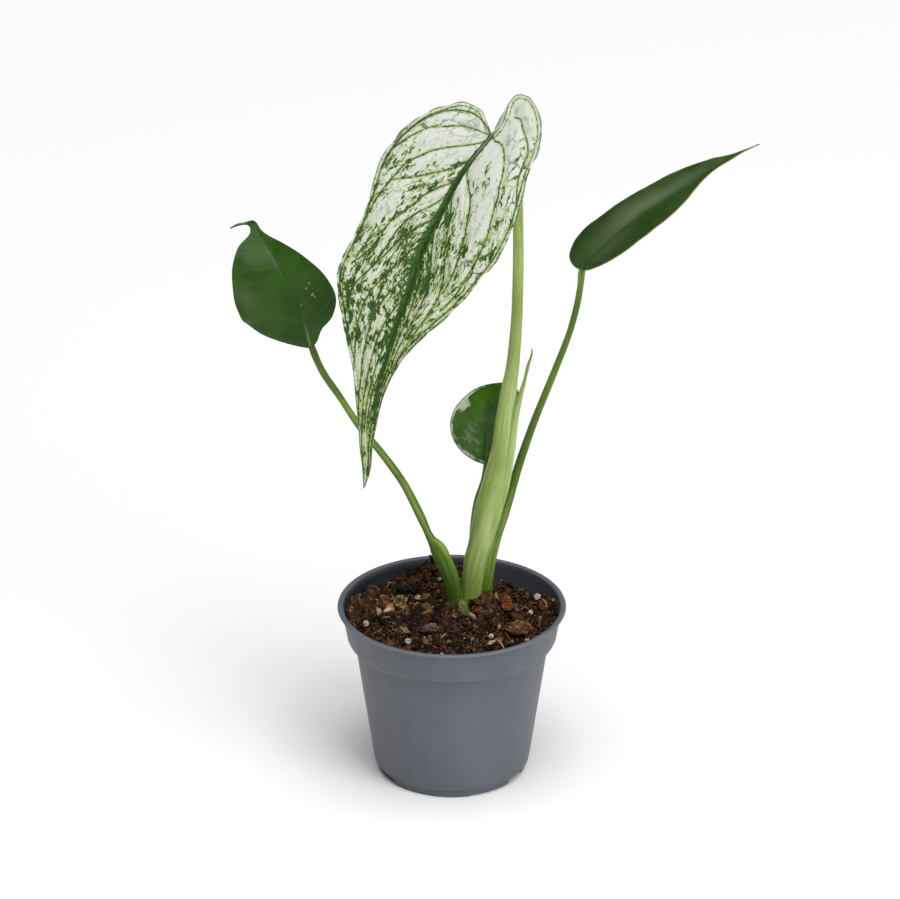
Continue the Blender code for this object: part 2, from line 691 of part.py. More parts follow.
def bark_chip(name, place, size, turn, tilt, ground, finish):
    """A flat broken piece: an uneven seven-sided slab with narrower faces."""
    corners = 7
    length, width, thick = size
    points = []
    for level, share in ((-0.5, 0.8), (-0.1, 1.0), (0.2, 0.95), (0.5, 0.65)):
        for corner in range(corners):
            angle = 2 * math.pi * corner / corners
            uneven = 1 + 0.14 * math.sin(2.3 * corner + length)
            across = 0.5 * length * share * uneven * math.cos(angle)
            deep = 0.5 * width * share * uneven * math.sin(angle)
            points.append((across, deep, thick * (level + 0.12 * math.sin(corner * 1.7))))
    faces = grid_faces(4, corners, closed=True)
    faces += [tuple(range(corners)), tuple(range(3 * corners, 4 * corners))]
    chip = mesh_object(name, points, faces, finish, 30.0)
    chip.rotation_euler = (math.radians(tilt), 0, math.radians(turn))
    chip.location = (place[0] * MM, place[1] * MM, POT_HEIGHT * MM)
    seat(chip, ground)
    return chip


def perlite_grain(name, place, size, ground, finish):
    """A small rounded, uneven grain."""
    built = bmesh.new()
    bmesh.ops.create_icosphere(built, subdivisions=1, radius=size / 2)
    for corner in built.verts:
        x, y, z = corner.co
        corner.co *= 1 + 0.12 * math.sin(3 * x + size) + 0.1 * math.cos(2.6 * y + 1.9 * z)
    points = [tuple(corner.co) for corner in built.verts]
    faces = [tuple(corner.index for corner in face.verts) for face in built.faces]
    built.free()
    grain = mesh_object(name, points, faces, finish, 80.0)
    grain.location = (place[0] * MM, place[1] * MM, POT_HEIGHT * MM)
    seat(grain, ground)
    return grain


def twig(name, first, last, radius, ground, finish):
    """A short bent stick that lies on the soil."""
    lift = [soil_height(x, y) + radius for x, y in (first, last)]
    middle = ((first[0] + last[0]) / 2 + 0.4, (first[1] + last[1]) / 2, sum(lift) / 2 + 0.7)
    sections = (
        (*first, lift[0], 0.7 * radius, 0.7 * radius),
        (*middle, radius, radius),
        (*last, lift[1], 0.6 * radius, 0.6 * radius),
    )
    stick = swept(name, sections, finish, 6, 6)
    seat(stick, ground)
    return stick


def blades():
    """The four leaf blades."""
    green = material("leaf_green", (0.028, 0.105, 0.012), 0.3)
    cream = material("leaf_variegated", (0.55, 0.62, 0.42), 0.35)
    patched = material("leaf_small_variegated", (0.09, 0.18, 0.05), 0.35)
    wide = (0.0, 0.12, 0.32, 0.56, 0.8, 1.0)
    narrow = (0.0, 0.3, 0.65, 1.0)
    LARGE_BLADE.solid(cream, 12, 27, wide)
    LEFT_BLADE.solid(green, 5, 18, narrow)
    RIGHT_BLADE.solid(green, 5, 18, narrow)
    SMALL_BLADE.solid(patched, 5, 13, narrow)


def stalks(soil):
    """The four leaf stalks, the rolled new leaf and the torn old sheath that lies on the soil."""
    pale = material("stalk_pale_green", (0.30, 0.40, 0.13), 0.4)
    green = material("stalk_green", (0.12, 0.24, 0.045), 0.4)
    husk = material("old_sheath", (0.33, 0.38, 0.17), 0.6)
    stalk_under("stalk_large", LARGE_STALK, LARGE_BLADE, pale, 14, 34)
    stalk_behind("stalk_left", LEFT_STALK, LEFT_BLADE, green, 12, 30)
    stalk_under("stalk_right", RIGHT_STALK, RIGHT_BLADE, green, 12, 24)
    stalk_behind("stalk_small", SMALL_STALK, SMALL_BLADE, green, 10, 14)
    swept("new_leaf_spear", SPEAR_LEAF, pale, 22, 10)
    seat(swept("old_sheath", OLD_SHEATH, husk, 9, 8), soil)


def loose_pieces(soil):
    """Bark, perlite and twigs lying on the soil."""
    bark = material("bark_brown", (0.16, 0.055, 0.025), 0.85)
    white = material("perlite_white", (0.72, 0.70, 0.62), 0.8)
    wood = material("twig_wood", (0.36, 0.22, 0.12), 0.8)
    for name, x, y, length, width, thick, turn, tilt in BARK_CHIPS:
        bark_chip(name, (x, y), (length, width, thick), turn, tilt, soil, bark)
    for name, x, y, size in PERLITE_GRAINS:
        perlite_grain(name, (x, y), size, soil, white)
    for name, first, last, radius in TWIGS:
        twig(name, first, last, radius, soil, wood)


def main():
    clear_scene()
    pot()
    soil = potting_soil()
    plant_crown()
    blades()
    stalks(soil)
    loose_pieces(soil)


main()
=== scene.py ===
"""Looks of a young variegated monstera in a round nursery pot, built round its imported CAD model.

Lengths in the classes are millimetres and become metres when a mesh is made. The origin is on the
pot's axis at the plane that it stands on, +X is to the viewer's right, +Y is away and +Z is up.
"""

import logging
import math
from dataclasses import dataclass
from enum import Enum
from typing import Any

import bmesh
import bpy
import numpy as np
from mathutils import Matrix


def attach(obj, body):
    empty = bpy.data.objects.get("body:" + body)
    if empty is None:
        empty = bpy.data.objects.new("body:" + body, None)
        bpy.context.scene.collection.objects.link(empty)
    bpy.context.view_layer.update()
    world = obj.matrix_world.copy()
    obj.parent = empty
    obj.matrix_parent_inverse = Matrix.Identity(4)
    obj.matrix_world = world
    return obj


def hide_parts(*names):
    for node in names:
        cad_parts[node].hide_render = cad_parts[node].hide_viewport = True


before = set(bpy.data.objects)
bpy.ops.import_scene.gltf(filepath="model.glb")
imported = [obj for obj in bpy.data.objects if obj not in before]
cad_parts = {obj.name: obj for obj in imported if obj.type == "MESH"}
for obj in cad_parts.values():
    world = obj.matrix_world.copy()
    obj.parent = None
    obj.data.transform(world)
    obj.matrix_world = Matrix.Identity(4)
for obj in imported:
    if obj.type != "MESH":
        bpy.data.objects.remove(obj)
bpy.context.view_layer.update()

LOG = logging.getLogger("potted_monstera")
MM = 0.001
SOFT = {"interpolation_type": "SMOOTHSTEP"}  # soft ends for a MapRange node

Array = np.ndarray
Material = bpy.types.Material
Object = bpy.types.Object
Pair = tuple[float, float]
Triple = tuple[float, float, float]
Line = list[Pair]
Layers = dict[str, Array]
Spot = tuple[float, float, float, float, float]  # middle and radius on two coordinates, strength


class Slot(Enum):
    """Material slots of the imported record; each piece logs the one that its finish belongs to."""

    POT = "pot_plastic"
    PEAT = "peat"
    VARIEGATED = "leaf_variegated"
    SMALL_LEAF = "leaf_small_variegated"
    GREEN_LEAF = "leaf_green"
    PALE_STALK = "stalk_pale_green"
    GREEN_STALK = "stalk_green"
    SHEATH = "old_sheath"
    BARK = "bark_brown"
    PERLITE = "perlite_white"
    TWIG = "twig_wood"


# ---- small tools


def linear(colour: str) -> tuple[float, float, float, float]:
    """Turn a colour into what a shader takes.

    Args:
        colour: sRGB hex colour with its hash sign.

    Returns:
        Linear red, green, blue and alpha.
    """
    parts = [int(colour[at : at + 2], 16) / 255 for at in (1, 3, 5)]
    return (*[p / 12.92 if p <= 0.04045 else ((p + 0.055) / 1.055) ** 2.4 for p in parts], 1.0)


def unit(vectors: Array) -> Array:
    """Vectors of length one along the given ones."""
    return vectors / np.linalg.norm(vectors, axis=-1, keepdims=True)


def smooth_step(low: float, high: float, value: Array) -> Array:
    """Go from 0 at low to 1 at high with soft ends; low may be the larger."""
    part = np.clip((np.asarray(value, float) - low) / (high - low), 0, 1)
    return part * part * (3 - 2 * part)


def chord_length(points: Any) -> float:
    """Length of the broken line through the points."""
    return float(np.linalg.norm(np.diff(np.asarray(points, float), axis=0), axis=1).sum())


def curve_at(points: Any, along: Any) -> Array:
    """Find points of the smooth curve through the given points; past its ends it goes on straight.

    Args:
        points: The points that the curve passes through.
        along: Distances measured on the chords between them.

    Returns:
        One point for each distance.
    """
    knots = np.asarray(points, float)
    steps = np.diff(knots, axis=0)
    length = np.linalg.norm(steps, axis=1)
    slope = steps / length[:, None]
    tangent = np.empty_like(knots)
    weighted = slope[:-1] * length[1:, None] + slope[1:] * length[:-1, None]
    tangent[1:-1] = weighted / (length[1:] + length[:-1])[:, None]
    tangent[0] = 1.5 * slope[0] - 0.5 * tangent[1]
    tangent[-1] = 1.5 * slope[-1] - 0.5 * tangent[-2]
    start = np.concatenate([[0.0], np.cumsum(length)])
    along = np.asarray(along, float)
    span = np.clip(np.searchsorted(start, along, side="right") - 1, 0, len(length) - 1)
    free = (along - start[span]) / length[span]
    part = np.clip(free, 0.0, 1.0)
    over = ((free - part) * length[span])[..., None]
    part = part[..., None]
    step = length[span][..., None]
    found = knots[span] * (2 * part**3 - 3 * part**2 + 1)
    found += tangent[span] * step * (part**3 - 2 * part**2 + part)
    found += knots[span + 1] * (3 * part**2 - 2 * part**3)
    found += tangent[span + 1] * step * (part**3 - part**2)
    return found + over * np.where(over < 0, tangent[0], tangent[-1])


def smooth_line(points: Any, step: float = 1.5) -> Array:
    """Points about a step apart on the smooth curve through the given points."""
    length = chord_length(points)
    return curve_at(points, np.linspace(0, length, max(2, round(length / step) + 1)))


def gap_to(points: Array, lines: list[Array]) -> Array:
    """Measure how far flat points lie from some lines.

    Args:
        points: Flat points, one a row.
        lines: Broken lines, each an array of its points.

    Returns:
        Distance from each point to the nearest line.
    """
    nearest = np.full(len(points), 1e3)
    for line in lines:
        for start, end in zip(line[:-1], line[1:]):
            way = end - start
            away = points - start
            part = np.clip(away @ way / max(way @ way, 1e-9), 0, 1)
            away = away - part[:, None] * way
            nearest = np.minimum(nearest, np.hypot(away[:, 0], away[:, 1]))
    return nearest


def soft_spots(along: Array, out: Array, spots: Any) -> Array:
    """Add up spots with soft edges.

    Args:
        along: First coordinate of each point.
        out: Second coordinate of each point.
        spots: Middle, then radius, on both coordinates, and strength of each spot.

    Returns:
        The sum at each point.
    """
    total = np.zeros(along.shape)
    for spot, away, wide, deep, strength in spots:
        total += strength * np.exp(-(((along - spot) / wide) ** 2) - ((out - away) / deep) ** 2)
    return total


def lattice_value(cell: Array, seed: int) -> Array:
    """Draw a repeatable value for each cell of space by mixing the bits of its numbers.

    Args:
        cell: Whole numbers of the cells, three a row.
        seed: Number that picks the pattern.

    Returns:
        Values from -1 to 1.
    """
    mixed = cell[..., 0] * 374761393 + cell[..., 1] * 668265263 + cell[..., 2] * 1440670441
    mixed = (mixed + seed * 974634777) & 0xFFFFFFFF
    mixed = ((mixed ^ (mixed >> 13)) * 1274126177) & 0xFFFFFFFF
    mixed = ((mixed ^ (mixed >> 16)) * 668265263) & 0xFFFFFFFF
    return ((mixed >> 8) & 0xFFFF) / 32767.5 - 1.0


def rough_noise(points: Array, size: float, seed: int, octaves: int = 3) -> Array:
    """Make smooth noise in space, each octave half as large and half as strong as the one before.

    Args:
        points: Points in millimetres.
        size: Size of the largest features in millimetres.
        seed: Number that picks the pattern.
        octaves: How many sizes are laid over each other.

    Returns:
        A value from about -1 to 1 for each point.
    """
    total = np.zeros(points.shape[:-1])
    for octave in range(octaves):
        spot = points / size * 2**octave + 17.3 * octave
        cell = np.floor(spot).astype(np.int64)
        part = spot - cell
        part = part * part * (3 - 2 * part)
        value = np.zeros_like(total)
        for corner in range(8):
            step = np.array([corner & 1, corner >> 1 & 1, corner >> 2 & 1])
            weight = np.where(step, part, 1 - part).prod(-1)
            value += weight * lattice_value(cell + step, seed + octave)
        total += value * 0.5**octave
    return total


def grid_faces(rows: int, columns: int, closed: bool = False) -> Array:
    """Join up a grid of points that are numbered row by row.

    Args:
        rows: Number of rows.
        columns: Number of points in a row.
        closed: Whether the last column is joined to the first.

    Returns:
        Its quads.
    """
    row = np.arange(rows - 1)[:, None] * columns
    column = np.arange(columns if closed else columns - 1)[None]
    beside = (column + 1) % columns
    corners = [row + column, row + beside, row + columns + beside, row + columns + column]
    return np.stack(corners, -1).reshape(-1, 4)


def make_piece(
    name: str,
    points: Array,
    faces: list[Array],
    finish: Material,
    layers: Layers | None = None,
    sharp: float | None = None,
    weld: bool = True,
) -> Object:
    """Make one object of the plant or pot.

    Args:
        name: Name of the piece.
        points: Its points in millimetres.
        faces: Arrays of faces, each array with its own number of corners a face.
        finish: Its material.
        layers: Values at the points that its material reads, by name.
        sharp: Angle in degrees above which an edge stays sharp.
        weld: Whether points that coincide are joined and the faces turned outwards.

    Returns:
        The new object, linked to the scene.
    """
    mesh = bpy.data.meshes.new(name)
    sizes = np.concatenate([np.full(len(group), group.shape[1]) for group in faces])
    corners = np.concatenate([group.reshape(-1) for group in faces]).astype(np.int32)
    mesh.vertices.add(len(points))
    mesh.vertices.foreach_set("co", (np.asarray(points) * MM).astype(np.float32).reshape(-1))
    mesh.loops.add(len(corners))
    mesh.loops.foreach_set("vertex_index", corners)
    mesh.polygons.add(len(sizes))
    starts = np.concatenate([[0], np.cumsum(sizes)[:-1]]).astype(np.int32)
    mesh.polygons.foreach_set("loop_start", starts)
    mesh.update(calc_edges=True)
    for layer, values in (layers or {}).items():
        flat = np.asarray(values, np.float32)
        kind, key = ("FLOAT_VECTOR", "vector") if flat.ndim == 2 else ("FLOAT", "value")
        mesh.attributes.new(layer, kind, "POINT").data.foreach_set(key, flat.reshape(-1))
    if weld:
        built = bmesh.new()
        built.from_mesh(mesh)
        bmesh.ops.remove_doubles(built, verts=built.verts, dist=2e-6)
        bmesh.ops.dissolve_degenerate(built, edges=built.edges, dist=1e-7)
        bmesh.ops.recalc_face_normals(built, faces=built.faces)
        if built.calc_volume(signed=True) < 0:
            bmesh.ops.reverse_faces(built, faces=built.faces)
        built.to_mesh(mesh)
        built.free()
    mesh.shade_smooth()
    if sharp is not None:
        mesh.set_sharp_from_angle(angle=math.radians(sharp))
    mesh.materials.append(finish)
    made = bpy.data.objects.new(name, mesh)
    bpy.context.scene.collection.objects.link(made)
    return made


def settle(piece: Object, slot: Slot, *nodes: str) -> None:
    """Tie a piece to the plant's one body, log the record's slot that its finish belongs to and hide what
    it stands for.

    Args:
        piece: The new piece.
        slot: The record's slot that its finish belongs to.
        *nodes: CAD nodes that it replaces.
    """
    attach(piece, "root")
    if nodes:
        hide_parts(*nodes)
    LOG.info("%s: %d faces, %s", piece.name, len(piece.data.polygons), slot.value)


class Shader:
    """A node material while it is being put together."""

    def __init__(self, name: str) -> None:
        """Start an empty material of that name."""
        self.material = bpy.data.materials.new(name)
        self.material.use_nodes = True
        self.tree = self.material.node_tree
        self.tree.nodes.clear()

    def node(
        self,
        kind: str,
        *values: Any,
        out: int | str = 0,
        plugs: dict[str, Any] | None = None,
        stops: list[tuple[float, str]] | None = None,
        **settings: Any,
    ) -> Any:
        """Add a node with its settings and links.

        Args:
            kind: Blender's name of the shader node, without its first part.
            *values: What each input takes, in order: a socket, a constant, a hex colour, the name of
                a layer of the mesh, or None to leave it alone.
            out: Which output to hand back.
            plugs: The same for inputs by name.
            stops: Places and colours of a colour ramp.
            **settings: Properties of the node.

        Returns:
            The chosen output socket, or None for a node that has none.
        """
        made = self.tree.nodes.new("ShaderNode" + kind)
        for name, value in settings.items():
            setattr(made, name, value)
        for index, (place, colour) in enumerate(stops or ()):
            ramp = made.color_ramp.elements
            stop = ramp[index] if index < len(ramp) else ramp.new(place)
            stop.position = place
            stop.color = linear(colour)
        given: dict[Any, Any] = dict(enumerate(values))
        given.update(plugs or {})
        for key, value in given.items():
            taken = made.inputs[key]
            if isinstance(value, str) and value.startswith("#"):
                value = linear(value)
            elif isinstance(value, str):
                part = "Vector" if taken.type == "VECTOR" else "Fac"
                value = self.node("Attribute", out=part, attribute_name=value)
            if isinstance(value, bpy.types.NodeSocket):
                self.tree.links.new(value, taken)
            elif value is not None:
                taken.default_value = value
        return made.outputs[out] if made.outputs else None

    def place(self, *size: float) -> Any:
        """Count the piece's own coordinates in features of a pattern.

        Args:
            *size: Size of a feature in millimetres, or its sizes along x, y and z.

        Returns:
            The counted coordinates.
        """
        sizes = size if len(size) == 3 else size * 3
        where = self.node("TexCoord", out="Object")
        return self.node("VectorMath", where, [1 / (part * MM) for part in sizes], operation="MULTIPLY")

    def drawn(self, flow: Any, along: float, across: float) -> Any:
        """Vein or strand coordinates counted in features of the given size along and across."""
        return self.node("VectorMath", flow, [1 / along, 1 / across, 1], operation="MULTIPLY")

    def cover(self, skin: Any, colour: Any, pattern: Any, *steps: float, **how: Any) -> Any:
        """Lay a colour over a skin where a pattern says so.

        Args:
            skin: What lies below.
            colour: The colour on top.
            pattern: The pattern, or the name of a layer of the mesh.
            *steps: Two values of the pattern, then the share of the colour at each.
            **how: Properties of the step between them.

        Returns:
            The mixed colour.
        """
        return self.node("MixRGB", self.node("MapRange", pattern, *steps, **how), skin, colour)

    def surface(self, colour: Any, rough: Any, height: Any, deep: float, **plain: float) -> Material:
        """Close the material with one principled surface.

        Args:
            colour: Its base colour.
            rough: Its roughness.
            height: Pattern that stands proud of it, from 0 to 1.
            deep: Height of that pattern in millimetres.
            **plain: Constant values of other inputs, by their names with _ for a space.

        Returns:
            The finished material.
        """
        plugs = {name.replace("_", " "): value for name, value in plain.items()}
        bump = self.node("Bump", plugs={"Strength": 1.0, "Distance": deep * MM, "Height": height})
        plugs |= {"Base Color": colour, "Roughness": rough, "Normal": bump}
        self.node("OutputMaterial", self.node("BsdfPrincipled", plugs=plugs))
        return self.material


# ---- finishes


@dataclass(frozen=True)
class VariegatedLamina:
    """Living monstera leaf skin that has lost its green in most cells, under a thin waxy cuticle.

    Clear white tissue, veins that stay green with a yellow-green edge, and ragged green flecks
    drawn out along the veins.
    """

    white: str = "#CACCC5"
    cream: str = "#BDC4A5"
    fringe: str = "#9DB25C"
    green: str = "#375A18"
    deep: str = "#1A3709"
    grey_green: str = "#7E9276"
    under: str = "#B4C09F"
    roughness: float = 0.42
    streak: Pair = (8.5, 2.6)  # mm along and across the veins
    fleck: Pair = (2.2, 1.0)  # mm, single groups of green cells
    merged: Triple = (1.9, 1.9, 4.4)  # mm, flecks that run together near the tip
    marble: Pair = (6.0, 1.6)  # mm, thin grey-green marbling
    shades: Pair = (3.0, 1.0)  # mm, changes within the green
    net: Pair = (10.0, 5.0)  # mm, meshes of the finer veins
    ragged: Triple = (1.8, 1.8, 3.6)  # mm, tears along the midrib's green band
    bend: float = 4.0  # mm, bends in the streaks and the finer veins
    cream_cloud: float = 12.0  # mm, where the white turns to cream
    fading: float = 8.0  # mm, where finer veins show and where they fade
    waver: float = 1.5  # mm, how a vein swells and thins
    grain: float = 0.35  # mm, drawn coarser than real leaf cells so that it shows

    def material(self) -> Material:
        """Build the node material; it reads the blade's distances and vein coordinates.

        Returns:
            The leaf's skin.
        """
        s = Shader("variegated_leaf_skin")
        bend = s.node("TexNoise", s.place(self.bend), None, 1.0, 3.0, 0.55, out="Color")
        bend = s.node("VectorMath", bend, [0.5, 0.5, 0.5], operation="SUBTRACT")
        bent = s.node("VectorMath", bend, [9.0, 7.0, 0.0], operation="MULTIPLY")
        bent = s.node("VectorMath", "flow", bent, operation="ADD")
        bend = s.node("VectorMath", bend, [5.0, 3.2, 0.0], operation="MULTIPLY")
        flow = s.node("VectorMath", "flow", bend, operation="ADD")
        blotch = s.node("TexNoise", s.drawn(flow, *self.streak), None, 1.0, 4.0, 0.62)
        speck = s.node("TexNoise", s.drawn(flow, *self.fleck), None, 1.0, 3.0, 0.6)
        blotch = s.node("Mix", 0.48, None, blotch, speck)
        merged = s.node("TexNoise", s.place(*self.merged), None, 1.0, 4.0, 0.62)
        blotch = s.node("Mix", "crowd", None, blotch, merged)
        level = s.node("Math", blotch, "green", operation="ADD")
        # White tissue, creamier in clouds and away from the margin, with grey-green marbling.
        broad = s.node("TexNoise", s.place(self.cream_cloud), None, 1.0, 3.0, 0.55)
        mellow = s.node("MapRange", broad, 0.44, 0.66, 0, 0.7)
        margin = s.node("MapRange", "rim", 2.0, 10.0, 1.0, 0.35)
        mellow = s.node("Math", mellow, margin, operation="MULTIPLY")
        tissue = s.node("MixRGB", mellow, self.white, self.cream)
        tissue = s.node("MixRGB", "ripe", tissue, self.fringe)
        marble = s.node("TexNoise", s.drawn(flow, *self.marble), None, 1.0, 5.0, 0.65)
        marble = s.node("Math", marble, "grey", operation="ADD")
        tissue = s.cover(tissue, self.grey_green, marble, 0.5, 0.58, 0, 0.8, **SOFT)
        shade = s.node("TexNoise", s.drawn(flow, *self.shades), None, 1.0, 3.0, 0.5)
        leaf_green = s.cover(self.deep, self.green, shade, 0.38, 0.62, 0, 1)
        # The net of finest veins, then the finer and the main side veins, each with its fringe.
        faint = s.node("TexNoise", s.place(self.fading), None, 1.0, 2.0, 0.5)
        gap = s.node("TexVoronoi", s.drawn(bent, *self.net), None, 1.0, feature="DISTANCE_TO_EDGE")
        edge = s.node("MapRange", gap, 0.02, 0.15, 0.38, 0, **SOFT)
        edge = s.node("Math", edge, "netted", operation="MULTIPLY", use_clamp=True)
        tissue = s.node("MixRGB", edge, tissue, self.fringe)
        shown = s.node("MapRange", faint, 0.44, 0.56, 0.1, 1.0)
        shown = s.node("Math", shown, "netted", operation="MULTIPLY", use_clamp=True)
        dark = s.node("MapRange", gap, 0.025, 0.09, 1, 0, **SOFT)
        dark = s.node("Math", dark, shown, operation="MULTIPLY")
        waver = s.node("TexNoise", s.place(self.waver), None, 1.0, 3.0, 0.55)
        waver = s.node("Math", waver, 0.5, operation="SUBTRACT")
        for layer, width, least, full in (("minor", 0.2, -0.8, 0.6), ("vein", 0.44, 0.85, 1.0)):
            gap = s.node("Math", waver, 1.2, layer, operation="MULTIPLY_ADD")
            tissue = s.cover(tissue, self.fringe, gap, width, width * 3.0, 0.6 * full, 0, **SOFT)
            line = s.node("MapRange", gap, width * 0.5, width * 1.3, 1, 0, **SOFT)
            live = s.node("MapRange", faint, 0.4, 0.54, least, full)
            line = s.node("Math", line, live, operation="MULTIPLY", use_clamp=True)
            dark = s.node("Math", dark, line, operation="MAXIMUM")
        # Green flecks with a yellow-green halo, the midrib's ragged band, the margin, the underside.
        tissue = s.cover(tissue, self.fringe, level, 0.462, 0.497, 0, 0.92, **SOFT)
        tissue = s.node("MixRGB", dark, tissue, leaf_green)
        tissue = s.cover(tissue, leaf_green, level, 0.497, 0.512, 0, 1, **SOFT)
        tear = s.node("TexNoise", s.place(*self.ragged), None, 1.0, 4.0, 0.6)
        tear = s.node("Math", tear, 0.5, operation="SUBTRACT")
        tear = s.node("Math", tear, -6.0, "rib_edge", operation="MULTIPLY_ADD")
        tissue = s.cover(tissue, leaf_green, tear, -0.3, 0.05, 1, 0, **SOFT)
        tissue = s.node("MixRGB", "rib_heart", tissue, self.cream)
        rim = s.node("Math", waver, 0.5, "rim", operation="MULTIPLY_ADD")
        tissue = s.cover(tissue, self.green, rim, 0.2, 0.6, 0.8, 0, **SOFT)
        tissue = s.node("MixRGB", s.node("Math", "under", 0.55, operation="MULTIPLY"), tissue, self.under)
        grain = s.node("TexNoise", s.place(self.grain), None, 1.0, 2.0, 0.5)
        rough = s.node("MapRange", broad, 0.3, 0.7, self.roughness - 0.06, self.roughness + 0.08)
        return s.surface(tissue, rough, grain, 0.03, Specular_IOR_Level=0.28)


@dataclass(frozen=True)
class GreenLamina:
    """Living monstera leaf skin with all its green, under a thick waxy cuticle.

    Deep green with a soft window-like gloss and a painted grey sheen, sunken veins a little lighter, a thin
    dark margin.
    """

    name: str = "green_leaf_skin"
    deep: str = "#24450F"
    green: str = "#325814"
    vein: str = "#557833"
    rib: str = "#7E9A57"
    # Colour of the painted sheen.
    haze: str = "#6C7A60"
    under: str = "#6C8A55"
    speck: str = "#D9DCD0"
    edge: str = "#24450F"
    roughness: float = 0.3
    cell: float = 0.3  # mm, drawn coarser than real leaf cells so that it shows
    cloud: float = 16.0  # mm, slow changes of green
    streak: Pair = (6.0, 0.8)  # mm along and across the side veins

    def material(self) -> Material:
        """Build the node material; it reads the blade's distances.

        Returns:
            The leaf's skin.
        """
        s = Shader(self.name)
        broad = s.node("TexNoise", s.place(self.cloud), None, 1.0, 4.0, 0.55)
        tissue = s.cover(self.deep, self.green, broad, 0.34, 0.66, 0, 1)
        fine = s.node("TexNoise", s.drawn("flow", *self.streak), None, 1.0, 3.0, 0.6)
        tissue = s.cover(tissue, self.vein, fine, 0.4, 0.7, 0, 0.06)
        # Painted sheen: greyish patches where the leaf catches the light.
        tissue = s.node("MixRGB", "painted_sheen", tissue, self.haze)
        tissue = s.cover(tissue, self.vein, "vein", 0.15, 0.8, 0.1, 0, **SOFT)
        line = s.node("MapRange", "rib_edge", -0.5, 0.2, 1, 0, **SOFT)
        line = s.node("Math", line, "rib_shown", operation="MULTIPLY")
        tissue = s.node("MixRGB", line, tissue, self.rib)
        tissue = s.cover(tissue, self.edge, "rim", 0.2, 0.6, 0.7, 0)
        tissue = s.cover(tissue, self.speck, "fleck", 0.25, 0.5, 0.9, 0)
        tissue = s.node("MixRGB", s.node("Math", "under", 0.75, operation="MULTIPLY"), tissue, self.under)
        grain = s.node("TexNoise", s.place(self.cell), None, 1.0, 2.0, 0.5)
        rough = s.node("MapRange", broad, 0.3, 0.7, self.roughness - 0.05, self.roughness + 0.1)
        return s.surface(tissue, rough, grain, 0.025, Specular_IOR_Level=0.14)


@dataclass(frozen=True)
class PatchedLamina:
    """Glossy leaf skin, green with a few torn patches of white-grey cells near its margin."""

    deep: str = "#2A4F0F"
    green: str = "#467018"
    patch: str = "#C9D0BC"
    haze: str = "#8FA27C"
    vein: str = "#6B8A47"
    roughness: float = 0.27
    cell: float = 0.3  # mm, drawn coarser than real leaf cells so that it shows
    cloud: float = 11.0  # mm, slow changes of green
    fleck: Pair = (3.6, 2.2)  # mm along and across the veins, pale groups of cells
    tear: float = 4.5  # mm, size of the tears round a patch

    def material(self) -> Material:
        """Build the node material; it reads the blade's distances and patch layers.

        Returns:
            The leaf's skin.
        """
        s = Shader("patched_leaf_skin")
        broad = s.node("TexNoise", s.place(self.cloud), None, 1.0, 4.0, 0.55)
        tissue = s.cover(self.deep, self.green, broad, 0.35, 0.65, 0, 1)
        fine = s.node("TexNoise", s.drawn("flow", *self.fleck), None, 1.0, 5.0, 0.7)
        haze = s.node("Math", fine, "grey", operation="ADD")
        tissue = s.cover(tissue, self.haze, haze, 0.44, 0.8, 0, 0.75, **SOFT)
        torn = s.node("TexNoise", s.place(self.tear), None, 1.0, 5.0, 0.65)
        torn = s.node("Mix", 0.55, None, torn, fine)
        patch = s.node("Math", torn, "green", operation="ADD")
        patch = s.node("MapRange", patch, 0.5, 0.58, 0, 1, **SOFT)
        inner = s.cover(self.patch, self.haze, fine, 0.42, 0.62, 0, 0.75)
        tissue = s.node("MixRGB", patch, tissue, inner)
        tissue = s.cover(tissue, self.vein, "vein", 0.1, 0.5, 0.03, 0, **SOFT)
        tissue = s.cover(tissue, self.vein, "rib_edge", -0.3, 0.2, 0.18, 0, **SOFT)
        tissue = s.cover(tissue, self.deep, "rim", 0.15, 0.5, 0.8, 0)
        grain = s.node("TexNoise", s.place(self.cell), None, 1.0, 2.0, 0.5)
        rough = s.node("MapRange", patch, 0, 1, self.roughness, self.roughness + 0.15)
        return s.surface(tissue, rough, grain, 0.025, Specular_IOR_Level=0.2)


@dataclass(frozen=True)
class StalkSkin:
    """Smooth juicy leaf stalk with fine strands running up it under a thin cuticle.

    Streaks of lighter and darker green along its length, paler where its wings thin out.
    """

    name: str
    dark: str
    middle: str
    light: str
    pale: str
    dried: str = "#5E5330"
    contrast: float = 1.5
    roughness: float = 0.36
    strand: Pair = (24.0, 0.6)  # mm along and across the strands
    band: Pair = (40.0, 3.0)  # mm along and across bands of lighter and darker green
    stain: float = 7.0  # mm, darker spots

    def material(self) -> Material:
        """Build the node material; it reads the stalk's unrolled coordinates and paleness, which is in part
        painted highlight and painted shade.

        Returns:
            The stalk's skin.
        """
        s = Shader(self.name)
        fine = s.node("TexNoise", s.drawn("flow", *self.strand), None, 1.0, 4.0, 0.6)
        wide = s.node("TexNoise", s.drawn("flow", *self.band), None, 1.0, 3.0, 0.5)
        streak = s.node("Mix", 0.45, None, wide, fine)
        shades = [(0.0, self.dark), (0.42, self.middle), (0.62, self.light), (1.0, self.pale)]
        level = s.node("Math", streak, 0.5, operation="SUBTRACT")
        level = s.node("Math", level, self.contrast, "pale", operation="MULTIPLY_ADD")
        skin = s.node("ValToRGB", level, stops=shades)
        skin = s.cover(skin, self.pale, "crease", 0.05, 0.3, 0.22, 0, **SOFT)
        brown = s.node("MapRange", fine, 0.38, 0.58, 0.35, 1.0)
        brown = s.node("Math", brown, "dry", operation="MULTIPLY", use_clamp=True)
        skin = s.node("MixRGB", brown, skin, self.dried)
        stain = s.node("TexNoise", s.place(self.stain), None, 1.0, 4.0, 0.6)
        skin = s.cover(skin, self.dark, stain, 0.58, 0.72, 0, 0.3)
        rough = s.node("MapRange", fine, 0.3, 0.7, self.roughness - 0.05, self.roughness + 0.08)
        return s.surface(skin, rough, fine, 0.035, Specular_IOR_Level=0.22)


